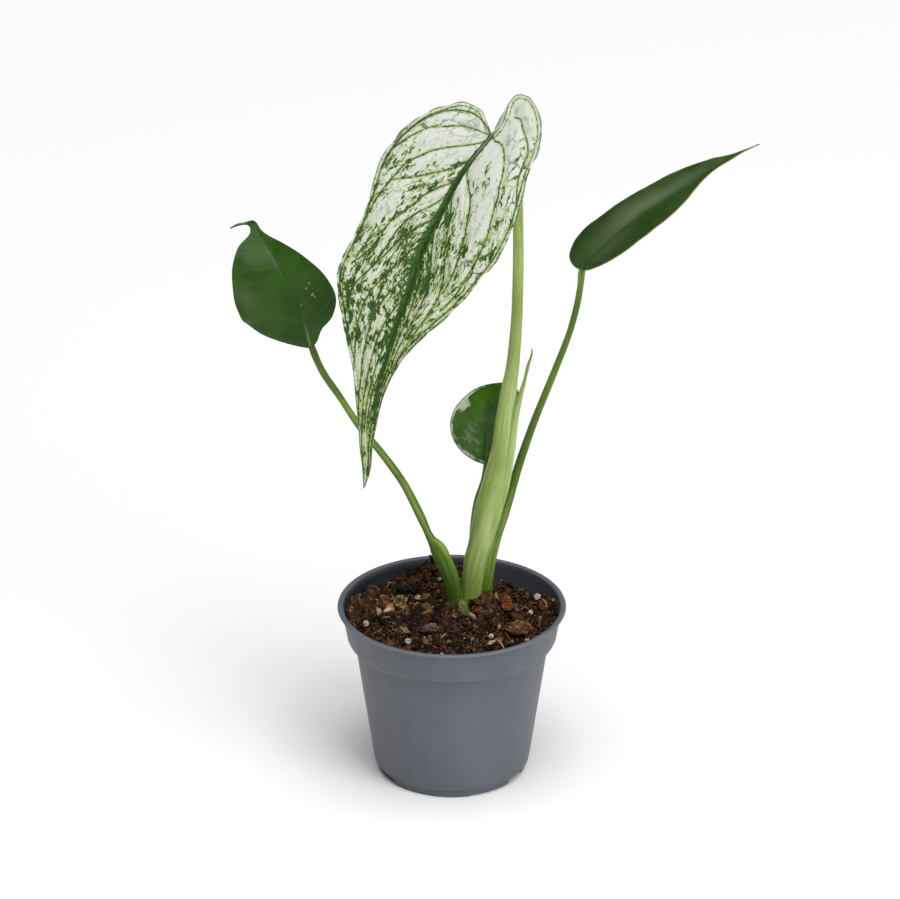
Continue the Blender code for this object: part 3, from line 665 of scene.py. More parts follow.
@dataclass(frozen=True)
class MouldedPolypropylene:
    """Injection moulded polypropylene of a nursery pot, recycled grey, with a fine satin grain.

    Matte blue-grey, slightly mottled where the melt flowed, with pale dusty spots, a painted highlight
    along its lip and painted shade under its collar and inside its wall.
    """

    base: str = "#5F636B"
    shade: str = "#575B63"
    # Colour of the pale dusty spots and of the painted highlight along the lip.
    dust_and_highlight: str = "#777B82"
    # Colour of the painted shade under the collar and inside the wall.
    painted_shade: str = "#131417"
    roughness: float = 0.5
    grain: float = 0.35  # mm, drawn coarser than the real spark-eroded texture so that it shows
    flow: Triple = (16.0, 16.0, 60.0)  # mm, mottles drawn out up the wall
    dust: float = 3.0  # mm, pale dusty spots

    def material(self) -> Material:
        """Build the node material; it reads where a highlight is painted along the lip and where shade is
        painted on the pot.

        Returns:
            The pot's plastic.
        """
        s = Shader("moulded_polypropylene")
        melt = s.node("TexNoise", s.place(*self.flow), None, 1.0, 5.0, 0.6)
        skin = s.cover(self.shade, self.base, melt, 0.35, 0.65, 0, 1)
        grain = s.node("TexNoise", s.place(self.grain), None, 1.0, 3.0, 0.6)
        dust = s.node("TexNoise", s.place(self.dust), None, 1.0, 6.0, 0.7)
        dust = s.node("MapRange", dust, 0.6, 0.75, 0, 0.35)
        skin = s.node("MixRGB", dust, skin, self.dust_and_highlight)
        # Lighter along the lip from the edge layer: a painted highlight.
        skin = s.node("MixRGB", s.node("Math", "edge", 0.45, operation="MULTIPLY"), skin, self.dust_and_highlight)
        # Darker from the shade layer: painted shade under the collar and inside the wall.
        skin = s.node("MixRGB", s.node("Math", "shade", 0.8, operation="MULTIPLY"), skin, self.painted_shade)
        rough = s.node("MapRange", dust, 0, 0.35, self.roughness, self.roughness + 0.15)
        return s.surface(skin, rough, grain, 0.02, Specular_IOR_Level=0.45)


@dataclass(frozen=True)
class DampPeat:
    """Loose moist peat mixed with bark fines and coir, crumbly and matte.

    Nearly black in the gaps, partly as painted shade, dark brown on the crumbs, with red-brown, tan and
    olive bits.
    """

    tones: tuple[str, ...] = ("#0A0502", "#22130A", "#422817", "#5C3820", "#7B5A33", "#96865F", "#BCB499")
    roughness: float = 0.75
    grit: float = 0.7  # mm

    def material(self) -> Material:
        """Build the node material; each crumb or fibre brings its own tone.

        Returns:
            The peat.
        """
        s = Shader("damp_peat")
        grit = s.node("TexNoise", s.place(self.grit), None, 1.0, 5.0, 0.7)
        level = s.node("Math", grit, 0.5, operation="SUBTRACT")
        level = s.node("Math", level, 1.2, "tone", operation="MULTIPLY_ADD")
        share = 1 / (len(self.tones) - 1)
        skin = s.node("ValToRGB", level, stops=[(share * i, tone) for i, tone in enumerate(self.tones)])
        rough = s.node("MapRange", grit, 0.3, 0.7, self.roughness - 0.15, self.roughness + 0.1)
        return s.surface(skin, rough, grit, 0.4, Specular_IOR_Level=0.18)


@dataclass(frozen=True)
class BrokenBark:
    """Composted pine bark, split along its layers.

    Red-brown corky plates with darker cracks, its long fibres showing where it broke.
    """

    name: str = "broken_bark"
    dark: str = "#1F120B"
    middle: str = "#5A3A26"
    light: str = "#A0744B"
    roughness: float = 0.85
    layer: Triple = (4.0, 1.0, 0.55)  # mm, fibres drawn out along its layers
    plate: float = 3.5  # mm, corky plates

    def material(self) -> Material:
        """Build the node material.

        Returns:
            The bark.
        """
        s = Shader(self.name)
        fibre = s.node("TexNoise", s.place(*self.layer), None, 1.0, 5.0, 0.65)
        plate = s.node("TexNoise", s.place(self.plate), None, 1.0, 4.0, 0.6)
        level = s.node("Mix", 0.65, None, plate, fibre)
        skin = s.node("ValToRGB", level, stops=[(0.4, self.dark), (0.5, self.middle), (0.61, self.light)])
        rough = s.node("MapRange", fibre, 0.3, 0.7, self.roughness - 0.15, self.roughness + 0.1)
        return s.surface(skin, rough, fibre, 0.5, Specular_IOR_Level=0.25)


@dataclass(frozen=True)
class ExpandedPerlite:
    """Heat-popped volcanic glass: white foamy grains with pits, soiled by the peat round them."""

    white: str = "#CFC8B7"
    soiled: str = "#7D6E57"
    roughness: float = 0.75
    pit: float = 0.45  # mm
    smear: float = 1.3  # mm, smears of peat

    def material(self) -> Material:
        """Build the node material.

        Returns:
            The perlite.
        """
        s = Shader("expanded_perlite")
        foam = s.node("TexVoronoi", s.place(self.pit), None, 1.0)
        dirt = s.node("TexNoise", s.place(self.smear), None, 1.0, 4.0, 0.6)
        dirt = s.node("MapRange", dirt, 0.42, 0.6, 0, 0.85)
        skin = s.node("MixRGB", dirt, self.white, self.soiled)
        rough = s.node("MapRange", dirt, 0, 0.8, self.roughness, self.roughness + 0.15)
        return s.surface(skin, rough, foam, 0.12)


@dataclass(frozen=True)
class DryWood:
    """Dry stripped wood and root fibre: pinkish tan with fine grain along it."""

    name: str = "dry_wood"
    dark: str = "#6A4730"
    light: str = "#C49A72"
    roughness: float = 0.75
    grain: Triple = (0.4, 2.5, 0.4)  # mm, drawn out along the wood

    def material(self) -> Material:
        """Build the node material.

        Returns:
            The wood.
        """
        s = Shader(self.name)
        grain = s.node("TexNoise", s.place(*self.grain), None, 1.0, 4.0, 0.6)
        skin = s.node("ValToRGB", grain, stops=[(0.35, self.dark), (0.6, self.light)])
        rough = s.node("MapRange", grain, 0.3, 0.7, self.roughness - 0.1, self.roughness + 0.1)
        return s.surface(skin, rough, grain, 0.1, Specular_IOR_Level=0.35)


@dataclass(frozen=True)
class PaperSweep:
    """Matte seamless studio paper under the pot: white, with the faintest fibre."""

    white: str = "#FFFFFF"
    shadow: str = "#FCFCFC"
    roughness: float = 0.9
    fibre: float = 2.0  # mm, drawn coarser than real paper fibre so that it shows

    def material(self) -> Material:
        """Build the node material.

        Returns:
            The paper.
        """
        s = Shader("paper_sweep")
        fibre = s.node("TexNoise", s.place(self.fibre), None, 1.0, 4.0, 0.6)
        skin = s.node("MixRGB", fibre, self.white, self.shadow)
        return s.surface(skin, self.roughness, fibre, 0.01, Specular_IOR_Level=0.1)


# ---- leaves


@dataclass
class Blade:
    """A leaf blade that hangs on a curved midrib.

    The left half is side -1 and the right half side 1. Flat places on a half are the distance along
    the midrib from where the stalk joins, and the distance out from it.
    """

    name: str
    node: str
    slot: Slot
    route: list[Triple]  # points on the midrib, from the joint to the tip
    face: list[Triple]  # ways that the upper side looks, evenly spaced along it
    left: Line  # outline from the joint to the tip, as along and out
    right: Line
    fold: float  # degrees that each half is turned up
    camber: float
    rib: float  # height of the midrib on the lower side
    curl_back: float | None = None  # radius that the left half rolls back with behind the joint
    fan_rows: int = 60
    body_rows: int = 180
    columns: int = 42
    under_columns: int = 14
    half_thickness: float = 0.45
    margin_share: float = 0.6
    rib_width: float = 2.6
    seam_depth: float = 0.25  # how far the upper side sinks along the midrib
    seam_width: float = 0.9
    rib_spread: float = 1.1
    vein_height: float = 0.16  # how proud the side veins stand on the lower side
    vein_spread: float = 0.45
    vein_sweep: float = 0.55  # how far side veins go forward for each millimetre out
    margin_vein: float = 0.0  # how far inside the margin a vein follows it, if one does
    lateral_every: int = 16
    puff: float = 0.09  # how high the blade bulges between its veins
    puff_reach: float = 1.8
    wave: float = 0.3
    wave_length: float = 17.0
    calm_reach: float = 14.0  # how far from the stalk's joint the blade is smoother
    frill: float = 0.3  # how far the margin waves up and down
    frill_length: float = 11.0
    scallop: float = 0.0  # how far the margin weaves in and out
    scallop_length: float = 7.0
    seed: int = 3

    def __post_init__(self) -> None:
        """Measure the midrib once."""
        self.knots = np.asarray(self.route, float)
        self.dense = np.linspace(0, chord_length(self.knots), 300)
        steps = np.diff(curve_at(self.knots, self.dense), axis=0)
        self.measured = np.concatenate([[0.0], np.cumsum(np.linalg.norm(steps, axis=1))])
        self.length = float(self.measured[-1])

    def midrib(self, along: Array) -> Array:
        """Find points of the midrib, which goes on straight past both ends.

        Args:
            along: Distances from the stalk's joint.

        Returns:
            One point for each distance.
        """
        inside = np.interp(along, self.measured, self.dense)
        over = np.minimum(along, 0.0) + np.maximum(along - self.length, 0.0)
        return curve_at(self.knots, inside + over)

    def frame(self, along: Array) -> tuple[Array, Array, Array]:
        """Find how the blade lies at distances along its midrib.

        Args:
            along: Distances from the stalk's joint.

        Returns:
            The way along the midrib, the way the upper side looks and the way across.
        """
        inside = np.clip(along, 0.0, self.length)
        way = unit(self.midrib(inside + 0.5) - self.midrib(inside - 0.5))
        share = inside / self.length
        turns = np.asarray(self.face, float)
        steps = np.linspace(0, 1, len(turns))
        hint = np.stack([np.interp(share, steps, turns[:, axis]) for axis in range(3)], -1)
        look = unit(hint - (hint * way).sum(-1, keepdims=True) * way)
        return way, look, np.cross(look, way)

    def at(self, along: Array, out: Array, side: int) -> Array:
        """Find points of the blade's middle surface.

        Args:
            along: Distances along the midrib.
            out: Distances out from it.
            side: Which half.

        Returns:
            One point for each flat place.
        """
        way, look, across = self.frame(along)
        behind = np.maximum(-along, 0.0)[..., None]
        root = self.midrib(np.maximum(along, 0.0))
        if self.curl_back and side < 0:
            root = root - way * self.curl_back * np.sin(behind / self.curl_back)
            root = root - look * self.curl_back * (1 - np.cos(behind / self.curl_back))
        else:
            root = root - way * behind
        out = np.asarray(out)[..., None]
        fold = math.radians(self.fold)
        lift = np.abs(out) * math.sin(fold) - self.camber * out**2
        return root + across * side * out * math.cos(fold) + look * lift

    def normal(self, along: Array, out: Array, side: int) -> Array:
        """Find the way that the upper side looks.

        Args:
            along: Distances along the midrib.
            out: Distances out from it.
            side: Which half.

        Returns:
            One way for each flat place.
        """
        step = 0.2
        down = self.at(along + step, out, side) - self.at(along - step, out, side)
        away = self.at(along, out + step, side) - self.at(along, out - step, side)
        return unit(np.cross(down, away)) * side

    def outline(self, side: int) -> Line:
        """Flat outline of one half."""
        return self.right if side > 0 else self.left

    def half(self, side: int, shares: Array) -> tuple[Array, Array]:
        """Lay out one half's grid.

        Args:
            side: Which half.
            shares: Places of the columns, from 0 next to the midrib to 1 at the margin.

        Returns:
            Distances along and out, one row for each cross line.
        """
        line = self.outline(side)
        dense = np.linspace(0, chord_length(line), 800)
        margin = curve_at(line, dense)
        reach = margin[:, 0] - self.vein_sweep * np.abs(margin[:, 1])
        first = int(np.nonzero(reach[:-1] <= 0)[0][-1]) + 1
        fan = dense[first] * np.arange(1, self.fan_rows + 1) / self.fan_rows
        starts = self.length * (np.arange(1, self.body_rows + 1) / self.body_rows) ** 0.9
        body = np.interp(starts, np.maximum.accumulate(reach[first:]), dense[first:])
        body[-1] = dense[-1]
        ends = curve_at(line, np.concatenate([fan, body]))
        spots = np.concatenate([ends, np.full((len(ends), 1), 50.0 * side)], 1)
        wavy = rough_noise(spots, self.scallop_length, self.seed + 3, 2)
        calm = smooth_step(0.4, 6.0, ends[:, 1]) * smooth_step(0.75, 0.5, ends[:, 0] / self.length)
        ends[:, 1] += self.scallop * wavy * calm
        ends[-1] = (self.length, 0.0)
        starts = np.concatenate([np.zeros(self.fan_rows), starts])
        length = np.hypot(ends[:, 0] - starts, ends[:, 1])
        near = np.minimum(0.3, self.rib_width / np.maximum(length, 1e-6))
        part = near[:, None] * shares[None] ** 0.5 + (1 - near[:, None]) * shares[None]
        part[:, 0] = 0.0
        part[:, -1] = 1.0
        bend = starts + 0.3 * (ends[:, 0] - starts)
        along = starts[:, None] * (1 - part) ** 2 + 2 * bend[:, None] * part * (1 - part)
        along = along + ends[:, 0:1] * part**2
        out = 1.1 * ends[:, 1:2] * part * (1 - part) + ends[:, 1:2] * part**2
        return along, out

    def veins(self, side: int) -> tuple[list[Array], list[Array]]:
        """Draw the veins of one half.

        Args:
            side: Which half.

        Returns:
            Flat lines of its main side veins and of the finer ones between them.
        """
        along, out = self.half(side, np.linspace(0, 1, 12))
        lines = list(np.stack([along, out], -1))
        every = self.lateral_every
        return lines[every // 2 : -every : every], [line[:9] for line in lines[4:-8:every]]

    def sweep(self, along: Array, out: Array, side: int) -> Array:
        """Vein coordinates in millimetres: how far along a side vein and how far across them."""
        lean = self.vein_sweep * np.abs(out)
        return np.stack([1.15 * out, 0.9 * (along - lean), np.full(along.shape, 40.0 * side)], -1)

    def rib_half(self, along: Array) -> Array:
        """Half the width of the coloured midrib at distances along it."""
        return 0.75 * np.clip(1 - along / self.length, 0, 1) ** 0.6 + 0.15

    def markings(self, along: Array, out: Array, side: int, rim: Array) -> Layers:
        """Layers for the leaf's own markings, from flat places and distances to the margin."""
        return {}

    def relief(self, along: Array, out: Array, side: int, vein: Array, rim: Array) -> Array:
        """Puff the blade up between its sunken veins and make its margin wavy.

        Args:
            along: Distances along the midrib.
            out: Distances out from it.
            side: Which half.
            vein: Distances to the nearest side vein.
            rim: Distances to the margin.

        Returns:
            How far each place is lifted.
        """
        nearest = np.minimum(vein, np.abs(out) * 1.2)
        puffed = self.puff * (1 - np.exp(-((nearest / self.puff_reach) ** 2)))
        flat = np.stack([along, out, np.full(along.shape, 30.0 * side)], -1)
        waves = self.wave * rough_noise(flat, self.wave_length, self.seed, 2)
        frill = self.frill * rough_noise(flat, self.frill_length, self.seed + 5, 1)
        frill = frill * smooth_step(7, 0, rim) * smooth_step(self.length, 0.7 * self.length, along)
        return (puffed + waves) * smooth_step(0, self.calm_reach, np.hypot(along, out)) + frill

    def surface(self, side: int, columns: int, under: bool) -> tuple[Array, Layers, tuple[int, int]]:
        """Make the points of one face of one half.

        Args:
            side: Which half.
            columns: Number of columns from the midrib out.
            under: Whether this is the lower face.

        Returns:
            Points, the layers at them, and the numbers of rows and columns.
        """
        along, out = self.half(side, np.linspace(0, 1, columns))
        shape = along.shape
        middle = self.at(along, out, side)
        look = self.normal(along, out, side)
        look[:, 0] = self.frame(along[:, 0])[1]
        look[-1] = look[-1, 0]
        flat = np.stack([along, out], -1).reshape(-1, 2)
        main, fine = self.veins(side)
        vein = gap_to(flat, main).reshape(shape)
        rim = gap_to(flat, [smooth_line(self.outline(side), 2.5)]).reshape(shape)
        if self.margin_vein:
            fade = 0.2 * smooth_step(20, -10, along) + smooth_step(0.6, 0.8, along / self.length)
            vein = np.minimum(vein, np.abs(rim - self.margin_vein) + fade)
        thick = self.margin_share + (1 - self.margin_share) * smooth_step(0, 5, rim)
        thick = self.half_thickness * thick
        lift = self.relief(along, out, side, vein, rim)
        seam = np.abs(out)
        thinning = (1 - along / self.length).clip(0, 1)
        lift = lift - self.seam_depth * np.exp(-((seam / self.seam_width) ** 2)) * thinning
        if under:
            proud = self.rib * thinning**0.8 * np.exp(-((seam / self.rib_spread) ** 2))
            proud = proud + self.vein_height * np.exp(-((vein / self.vein_spread) ** 2))
            points = middle + look * (lift - thick - proud * smooth_step(0, 2, rim))[..., None]
        else:
            points = middle + look * (lift + thick)[..., None]
        layers = {
            "vein": vein,
            "minor": gap_to(flat, fine).reshape(shape),
            "rim": rim,
            "rib_edge": seam - self.rib_half(along),
            "flow": self.sweep(along, out, side),
            "under": np.full(shape, float(under)),
        }
        layers |= self.markings(along, out, side, rim)
        return points, layers, shape

    def build(self, finish: Material) -> None:
        """Build the whole blade as one closed piece.

        Args:
            finish: Its leaf skin.
        """
        points, faces, layers, start = [], [], {}, 0
        for side in (1, -1):
            edges = []
            for under, columns in ((False, self.columns), (True, self.under_columns)):
                spots, values, (rows, across) = self.surface(side, columns, under)
                points.append(spots.reshape(-1, 3))
                for layer, value in values.items():
                    size = (-1, 3) if value.ndim == 3 else (-1,)
                    layers.setdefault(layer, []).append(value.reshape(size))
                faces.append(start + grid_faces(rows, across))
                rim = start + np.arange(rows) * across + across - 1
                edges.append((rim, start + np.arange(across)))
                start += rows * across
            (top, first), (low, beneath) = edges
            faces.append(np.stack([top[:-1], top[1:], low[1:], low[:-1]], -1))
            faces.append(np.concatenate([first, beneath[::-1]])[None])
        whole = {layer: np.concatenate(parts) for layer, parts in layers.items()}
        piece = make_piece(self.name, np.concatenate(points), faces, finish, whole, sharp=75.0)
        settle(piece, self.slot, self.node)


@dataclass
class MarbledBlade(Blade):
    """The large leaf: white, netted with green veins and flecked more and more towards its tip."""

    def slope(self, start: Array, side: int) -> Array:
        """Say how steeply a side vein leans forward.

        Args:
            start: Where on the midrib it starts.
            side: Which half.

        Returns:
            How far it goes along for each millimetre out.
        """
        if side > 0:
            return np.interp(start, (-60, 0, 20, 40, 60, 90, 196), (0.9, 1.4, 2.1, 3.2, 4.2, 5.0, 5.5))
        places = (-60, 0, 25, 50, 75, 100, 130, 196)
        return np.interp(start, places, (0.45, 0.7, 1.05, 1.45, 1.9, 2.7, 3.8, 4.5))

    def reach(self, out: Array) -> Array:
        """Bent distance out, so that each side vein curves forward as it nears the margin."""
        return out * (np.maximum(out, 0.01) / 20.0) ** 0.22

    def opened(self, along: Array, side: int) -> Array:
        """Spread places outwards, because the veins crowd where the blade narrows.

        Args:
            along: Distances along the midrib.
            side: Which half.

        Returns:
            How many times as far out each place counts.
        """
        line = np.asarray(self.outline(side), float)
        line = line[int(line[:, 1].argmax()):]
        width = np.maximum(np.interp(along, line[:, 0], line[:, 1]), 2.5)
        return 1 + smooth_step(55, 120, along) * (line[0, 1] / width - 1)

    def lateral(self, start: float, side: int, short: float = 34.0) -> Array:
        """Draw one side vein.

        Args:
            start: Where on the midrib it starts.
            side: Which half.
            short: How far from the leaf's tip it ends at the latest.

        Returns:
            Its flat line.
        """
        wide = np.linspace(0.8, 37, 40)
        along = start + self.slope(np.full(wide.shape, start), side) * self.reach(wide)
        line = np.stack([along, wide / self.opened(along, side)], -1)
        return line[along < self.length - short]

    def sweep(self, along: Array, out: Array, side: int) -> Array:
        """Find vein coordinates in millimetres that follow this leaf's side veins.

        Args:
            along: Distances along the midrib.
            out: Distances out from it.
            side: Which half.

        Returns:
            How far along a side vein and how far across them each place is, and its half.
        """
        wide = self.reach(out * self.opened(along, side))
        low, high = np.full(along.shape, -150.0), np.full(along.shape, 200.0)
        for _ in range(22):
            middle = 0.5 * (low + high)
            before = middle + self.slope(middle, side) * wide < along
            low, high = np.where(before, middle, low), np.where(before, high, middle)
        steep = np.hypot(1, self.slope(low, side))
        starts = np.linspace(-150, 200, 351)
        across = np.interp(low, starts, np.cumsum(1 / np.hypot(1, self.slope(starts, side))))
        return np.stack([wide * steep, across, np.full(along.shape, 40.0 * side)], -1)

    def veins(self, side: int) -> tuple[list[Array], list[Array]]:
        """Draw the veins of one half as they grow on this leaf.

        Args:
            side: Which half.

        Returns:
            Flat lines of its main side veins and of the finer ones between them.
        """
        if side < 0:
            drawn = [
                [(0.3, 1), (-2, 6), (-3, 12), (0, 20), (7.5, 28.4), (15, 33), (27, 37.2), (40, 37.6)],
                [(0.3, 0.8), (1.8, 5), (3.5, 9.5), (7, 16.5), (11.5, 22), (15.5, 27.5), (21.5, 32),
                 (31, 38)],
                [(3, 0.5), (6, 2), (12, 7), (17, 12.5), (21, 17), (25, 21), (29, 24.5), (34, 28),
                 (42, 30.5), (53, 32.5), (64, 33.4), (74, 34)],
                [(15, 0.6), (17.5, 1.5), (23.5, 4.5), (27.5, 8.5), (32, 14), (36.5, 20), (39.5, 25),
                 (43.5, 31)],
                [(28, 0.8), (30.5, 2), (36, 7), (44, 12.5), (51.5, 15.5), (57.5, 18.5), (62, 21),
                 (71, 23.5), (77.5, 27.5), (86, 33)],
                [(37, 0.8), (39, 2), (46.5, 6.5), (52, 10.5), (57.5, 13.5), (66, 16.5), (76, 19.5),
                 (88, 24), (98, 30)],
            ]
            starts = (50, 63, 77, 92, 108, 126, 146)
            links = [
                [(3, 10), (10, 9), (14, 8)], [(9, 20), (15, 19), (20, 16.5)], [(22, 28), (29, 24.5)],
                [(21, 17), (30, 17), (34, 17)], [(39, 27), (46, 24), (50, 17)],
                [(61, 20.5), (62, 28), (60, 33)],
            ]
        else:
            drawn = [
                [(-14.6, 3.0), (-15.5, 6), (-12, 11), (-8, 17.5), (-3.5, 22),
                 (4, 24.5), (10, 27), (16, 30), (24.5, 35)],
                [(0.5, 0.8), (1.2, 3), (0.6, 6.5), (2, 10), (6, 14), (12.5, 18.5), (19, 21), (25.5, 23.5),
                 (32.5, 24.8), (40.5, 26.5), (46.5, 28), (53.5, 28.7), (66, 28.6), (77, 26.5), (84, 24),
                 (93, 19.5)],
                [(18, 0.8), (23, 2.5), (28, 6.5), (33, 10.5), (39.5, 13.5), (46.5, 15.5), (53, 18),
                 (62, 19.6), (73, 19.8), (85, 17.5)],
            ]
            starts = (34, 52, 72, 95, 122)
            links = [
                [(6, 14.5), (4.5, 18.5), (5, 23.5)], [(39, 26), (36, 31), (34, 36)],
                [(46, 15.5), (47.5, 21), (46.5, 28)], [(-12, 11), (-14, 14), (-17, 16)],
                [(-6, 19.5), (-3, 17), (-2, 12)], [(13, 28), (15, 24), (14, 19)],
                [(55, 28.5), (57, 32), (56, 36)], [(64, 28.6), (68, 33)], [(25, 24), (23, 29), (20, 32)],
                [(72, 27.6), (77, 31.5)], [(80, 25.2), (86, 27)], [(88, 22), (94, 23)],
                [(59, 19.4), (57, 24), (60, 28.7)], [(30, 24.3), (31, 29), (29, 34)],
                [(74, 19.6), (78, 25.8)], [(8, 16), (4, 20), (5, 24.8)],
            ]
        longest = (50, 52, 92, 122)  # where the side veins start that run on almost to the tip
        leaning = [self.lateral(start, side, 7.0 if start in longest else 34.0) for start in starts]
        between = [self.lateral(start + 8, side) for start in (12, 28, *starts)]
        main = [smooth_line(line) for line in drawn] + leaning
        return main, between + [smooth_line(line, 1.0) for line in links]

    def rib_half(self, along: Array) -> Array:
        """Half the width of the green band on the midrib."""
        places = (0, 12, 30, 55, 75, 105, 130, 155, 180, 196)
        return np.interp(along, places, (1.2, 1.6, 2.1, 2.6, 3.0, 2.5, 1.5, 0.6, 0.2, 0.0))

    def markings(self, along: Array, out: Array, side: int, rim: Array) -> Layers:
        """Say where this leaf is green, greyish or yellow-green.

        Args:
            along: Distances along the midrib.
            out: Distances out from it.
            side: Which half.
            rim: Distances to the margin.

        Returns:
            The layers that its finish reads.
        """
        if side < 0:
            places = (-30, 0, 18, 30, 45, 60, 80, 100, 120, 140, 160, 196)
            shares = (0.04, 0.06, 0.14, 0.27, 0.31, 0.36, 0.41, 0.44, 0.42, 0.33, 0.26, 0.3)
            patches = [  # along, out, radius along, radius out, change
                (24.5, 4.5, 5, 2.2, 0.5), (54, 2.5, 6, 3.0, 0.4), (65, 10.5, 8, 4.0, 0.3),
                (77, 3, 12, 4, 0.3), (84, 13, 7, 4, 0.25), (75, 25, 6, 3, 0.3), (31.5, 28, 4, 3.5, 0.25),
                (43, 16, 6, 4, 0.2), (102, 13, 9, 4, 0.15), (118, 4, 12, 3, 0.2), (36, 10, 4, 3, 0.25),
                (12, 14, 12, 8, -0.06), (129, 13, 8, 3, -0.3), (126, 8, 7, 2, -0.25),
                (46, 8, 7, 2.5, -0.2), (58, 27, 8, 3, -0.15), (90, 20, 7, 3, -0.2), (104, 27, 9, 4, 0.15),
            ]
            greys = [(118, 13, 12, 6, 0.27), (135, 8, 10, 4, 0.25), (95, 14, 14, 6, 0.21)]
        else:
            places = (-30, 0, 20, 40, 60, 80, 100, 120, 140, 160, 196)
            shares = (0.004, 0.04, 0.14, 0.24, 0.31, 0.33, 0.34, 0.32, 0.29, 0.26, 0.3)
            patches = [
                (49.5, 5.5, 5, 2.5, 0.4), (60.5, 19, 4, 3, 0.5), (55, 10, 7, 3, 0.25),
                (16.5, 10, 4, 2, 0.3), (23, 13.5, 4, 2.5, 0.3), (82, 8, 12, 3.5, 0.3),
                (20, 23, 3, 2, 0.2), (38, 31, 4, 3, 0.15), (-2, 14, 3, 1.6, 0.3), (92, 14, 8, 3, -0.12),
                (70, 30, 12, 5, -0.1), (40, 20, 8, 3, -0.08), (72, 12, 8, 3, 0.1), (66, 3, 22, 3, 0.2),
                (96, 4, 20, 3, 0.1),
            ]
            greys = [(52, 7, 12, 4, 0.27), (75, 8, 14, 4, 0.25)]
        share = np.interp(along, places, shares) + soft_spots(along, out, patches)
        share = np.clip(share, 0.004, 0.93)
        heart = np.exp(-((np.abs(out) / 0.25) ** 2)) * smooth_step(24, 6, along) * 0.5
        band = np.hypot(out, np.minimum(along, 0)) - self.rib_half(along)
        near_rim = smooth_step(16, 9, rim) * smooth_step(6, 24, np.hypot(along, out))
        netted = near_rim * (1.3 if side > 0 else 0.5) * smooth_step(135, 105, along) + 0.25
        netted = netted * smooth_step(-24, -4, along)
        return {
            # The noise is about normally spread, so this offset makes that share of it green.
            "green": np.log(share / (1 - share)) / 1.702 * 0.1,
            "grey": soft_spots(along, out, greys) - 0.22,
            "rib_heart": heart,
            "crowd": 0.7 * smooth_step(66, 112, along),
            "ripe": 0.5 * smooth_step(130, 172, along),
            "netted": netted,
            "rib_edge": band * (1 + 3.5 * smooth_step(62, 22, along)),
        }


@dataclass
class SpeckledBlade(Blade):
    """A green leaf with a few pale scars, a painted grey sheen and a midrib that fades towards the tip."""

    scars: tuple[tuple[float, float, int], ...] = ()  # along, out, which half
    # Spots of painted sheen on the upper side.
    painted_sheens: tuple[Spot, ...] = ()
    rib_fade: Pair = (6.0, 34.0)  # where along the midrib its colour fades
    rib_least: float = 0.1

    def markings(self, along: Array, out: Array, side: int, rim: Array) -> Layers:
        """Say where this leaf is scarred or has painted sheen, and how far its midrib shows.

        Args:
            along: Distances along the midrib.
            out: Distances out from it.
            side: Which half.
            rim: Distances to the margin.

        Returns:
            The layers that its finish reads.
        """
        gap = np.full(along.shape, 9.0)
        for spot, away, half in self.scars:
            if half == side:
                gap = np.minimum(gap, np.hypot(along - spot, out - away))
        # Patches of painted sheen.
        painted_sheen = soft_spots(along, side * out, self.painted_sheens)
        shown = self.rib_least + (0.75 - self.rib_least) * (1 - smooth_step(*self.rib_fade, along))
        return {"fleck": gap, "painted_sheen": painted_sheen, "rib_shown": shown}


@dataclass
class PatchedBlade(Blade):
    """The small leaf: green, with white-grey patches along one margin."""

    def markings(self, along: Array, out: Array, side: int, rim: Array) -> Layers:
        """Say where this leaf has its white patches and its haze.

        Args:
            along: Distances along the midrib.
            out: Distances out from it.
            side: Which half.
            rim: Distances to the margin.

        Returns:
            The layers that its finish reads.
        """
        patch = np.full(along.shape, -0.3)
        hazes = [(14, 3, 7, 4, 0.2)]
        if side > 0:
            patch = patch + soft_spots(along, out, [(31, 15, 6.5, 6.0, 0.44)])
            band = smooth_step(5.2, 0.8, rim) * smooth_step(26, 16, along)
            edge = smooth_step(1.7, 0.7, rim) * smooth_step(0.2, 0.5, rim) * smooth_step(16, 22, along)
            patch = patch + 0.36 * band + 0.3 * edge
            hazes = [(16.5, 10, 8, 5, 0.34), (13, 3, 8, 4, 0.24), (26, 7, 5, 3, 0.1)]
        return {"green": patch, "grey": soft_spots(along, out, hazes) - 0.25}


# ---- stalks


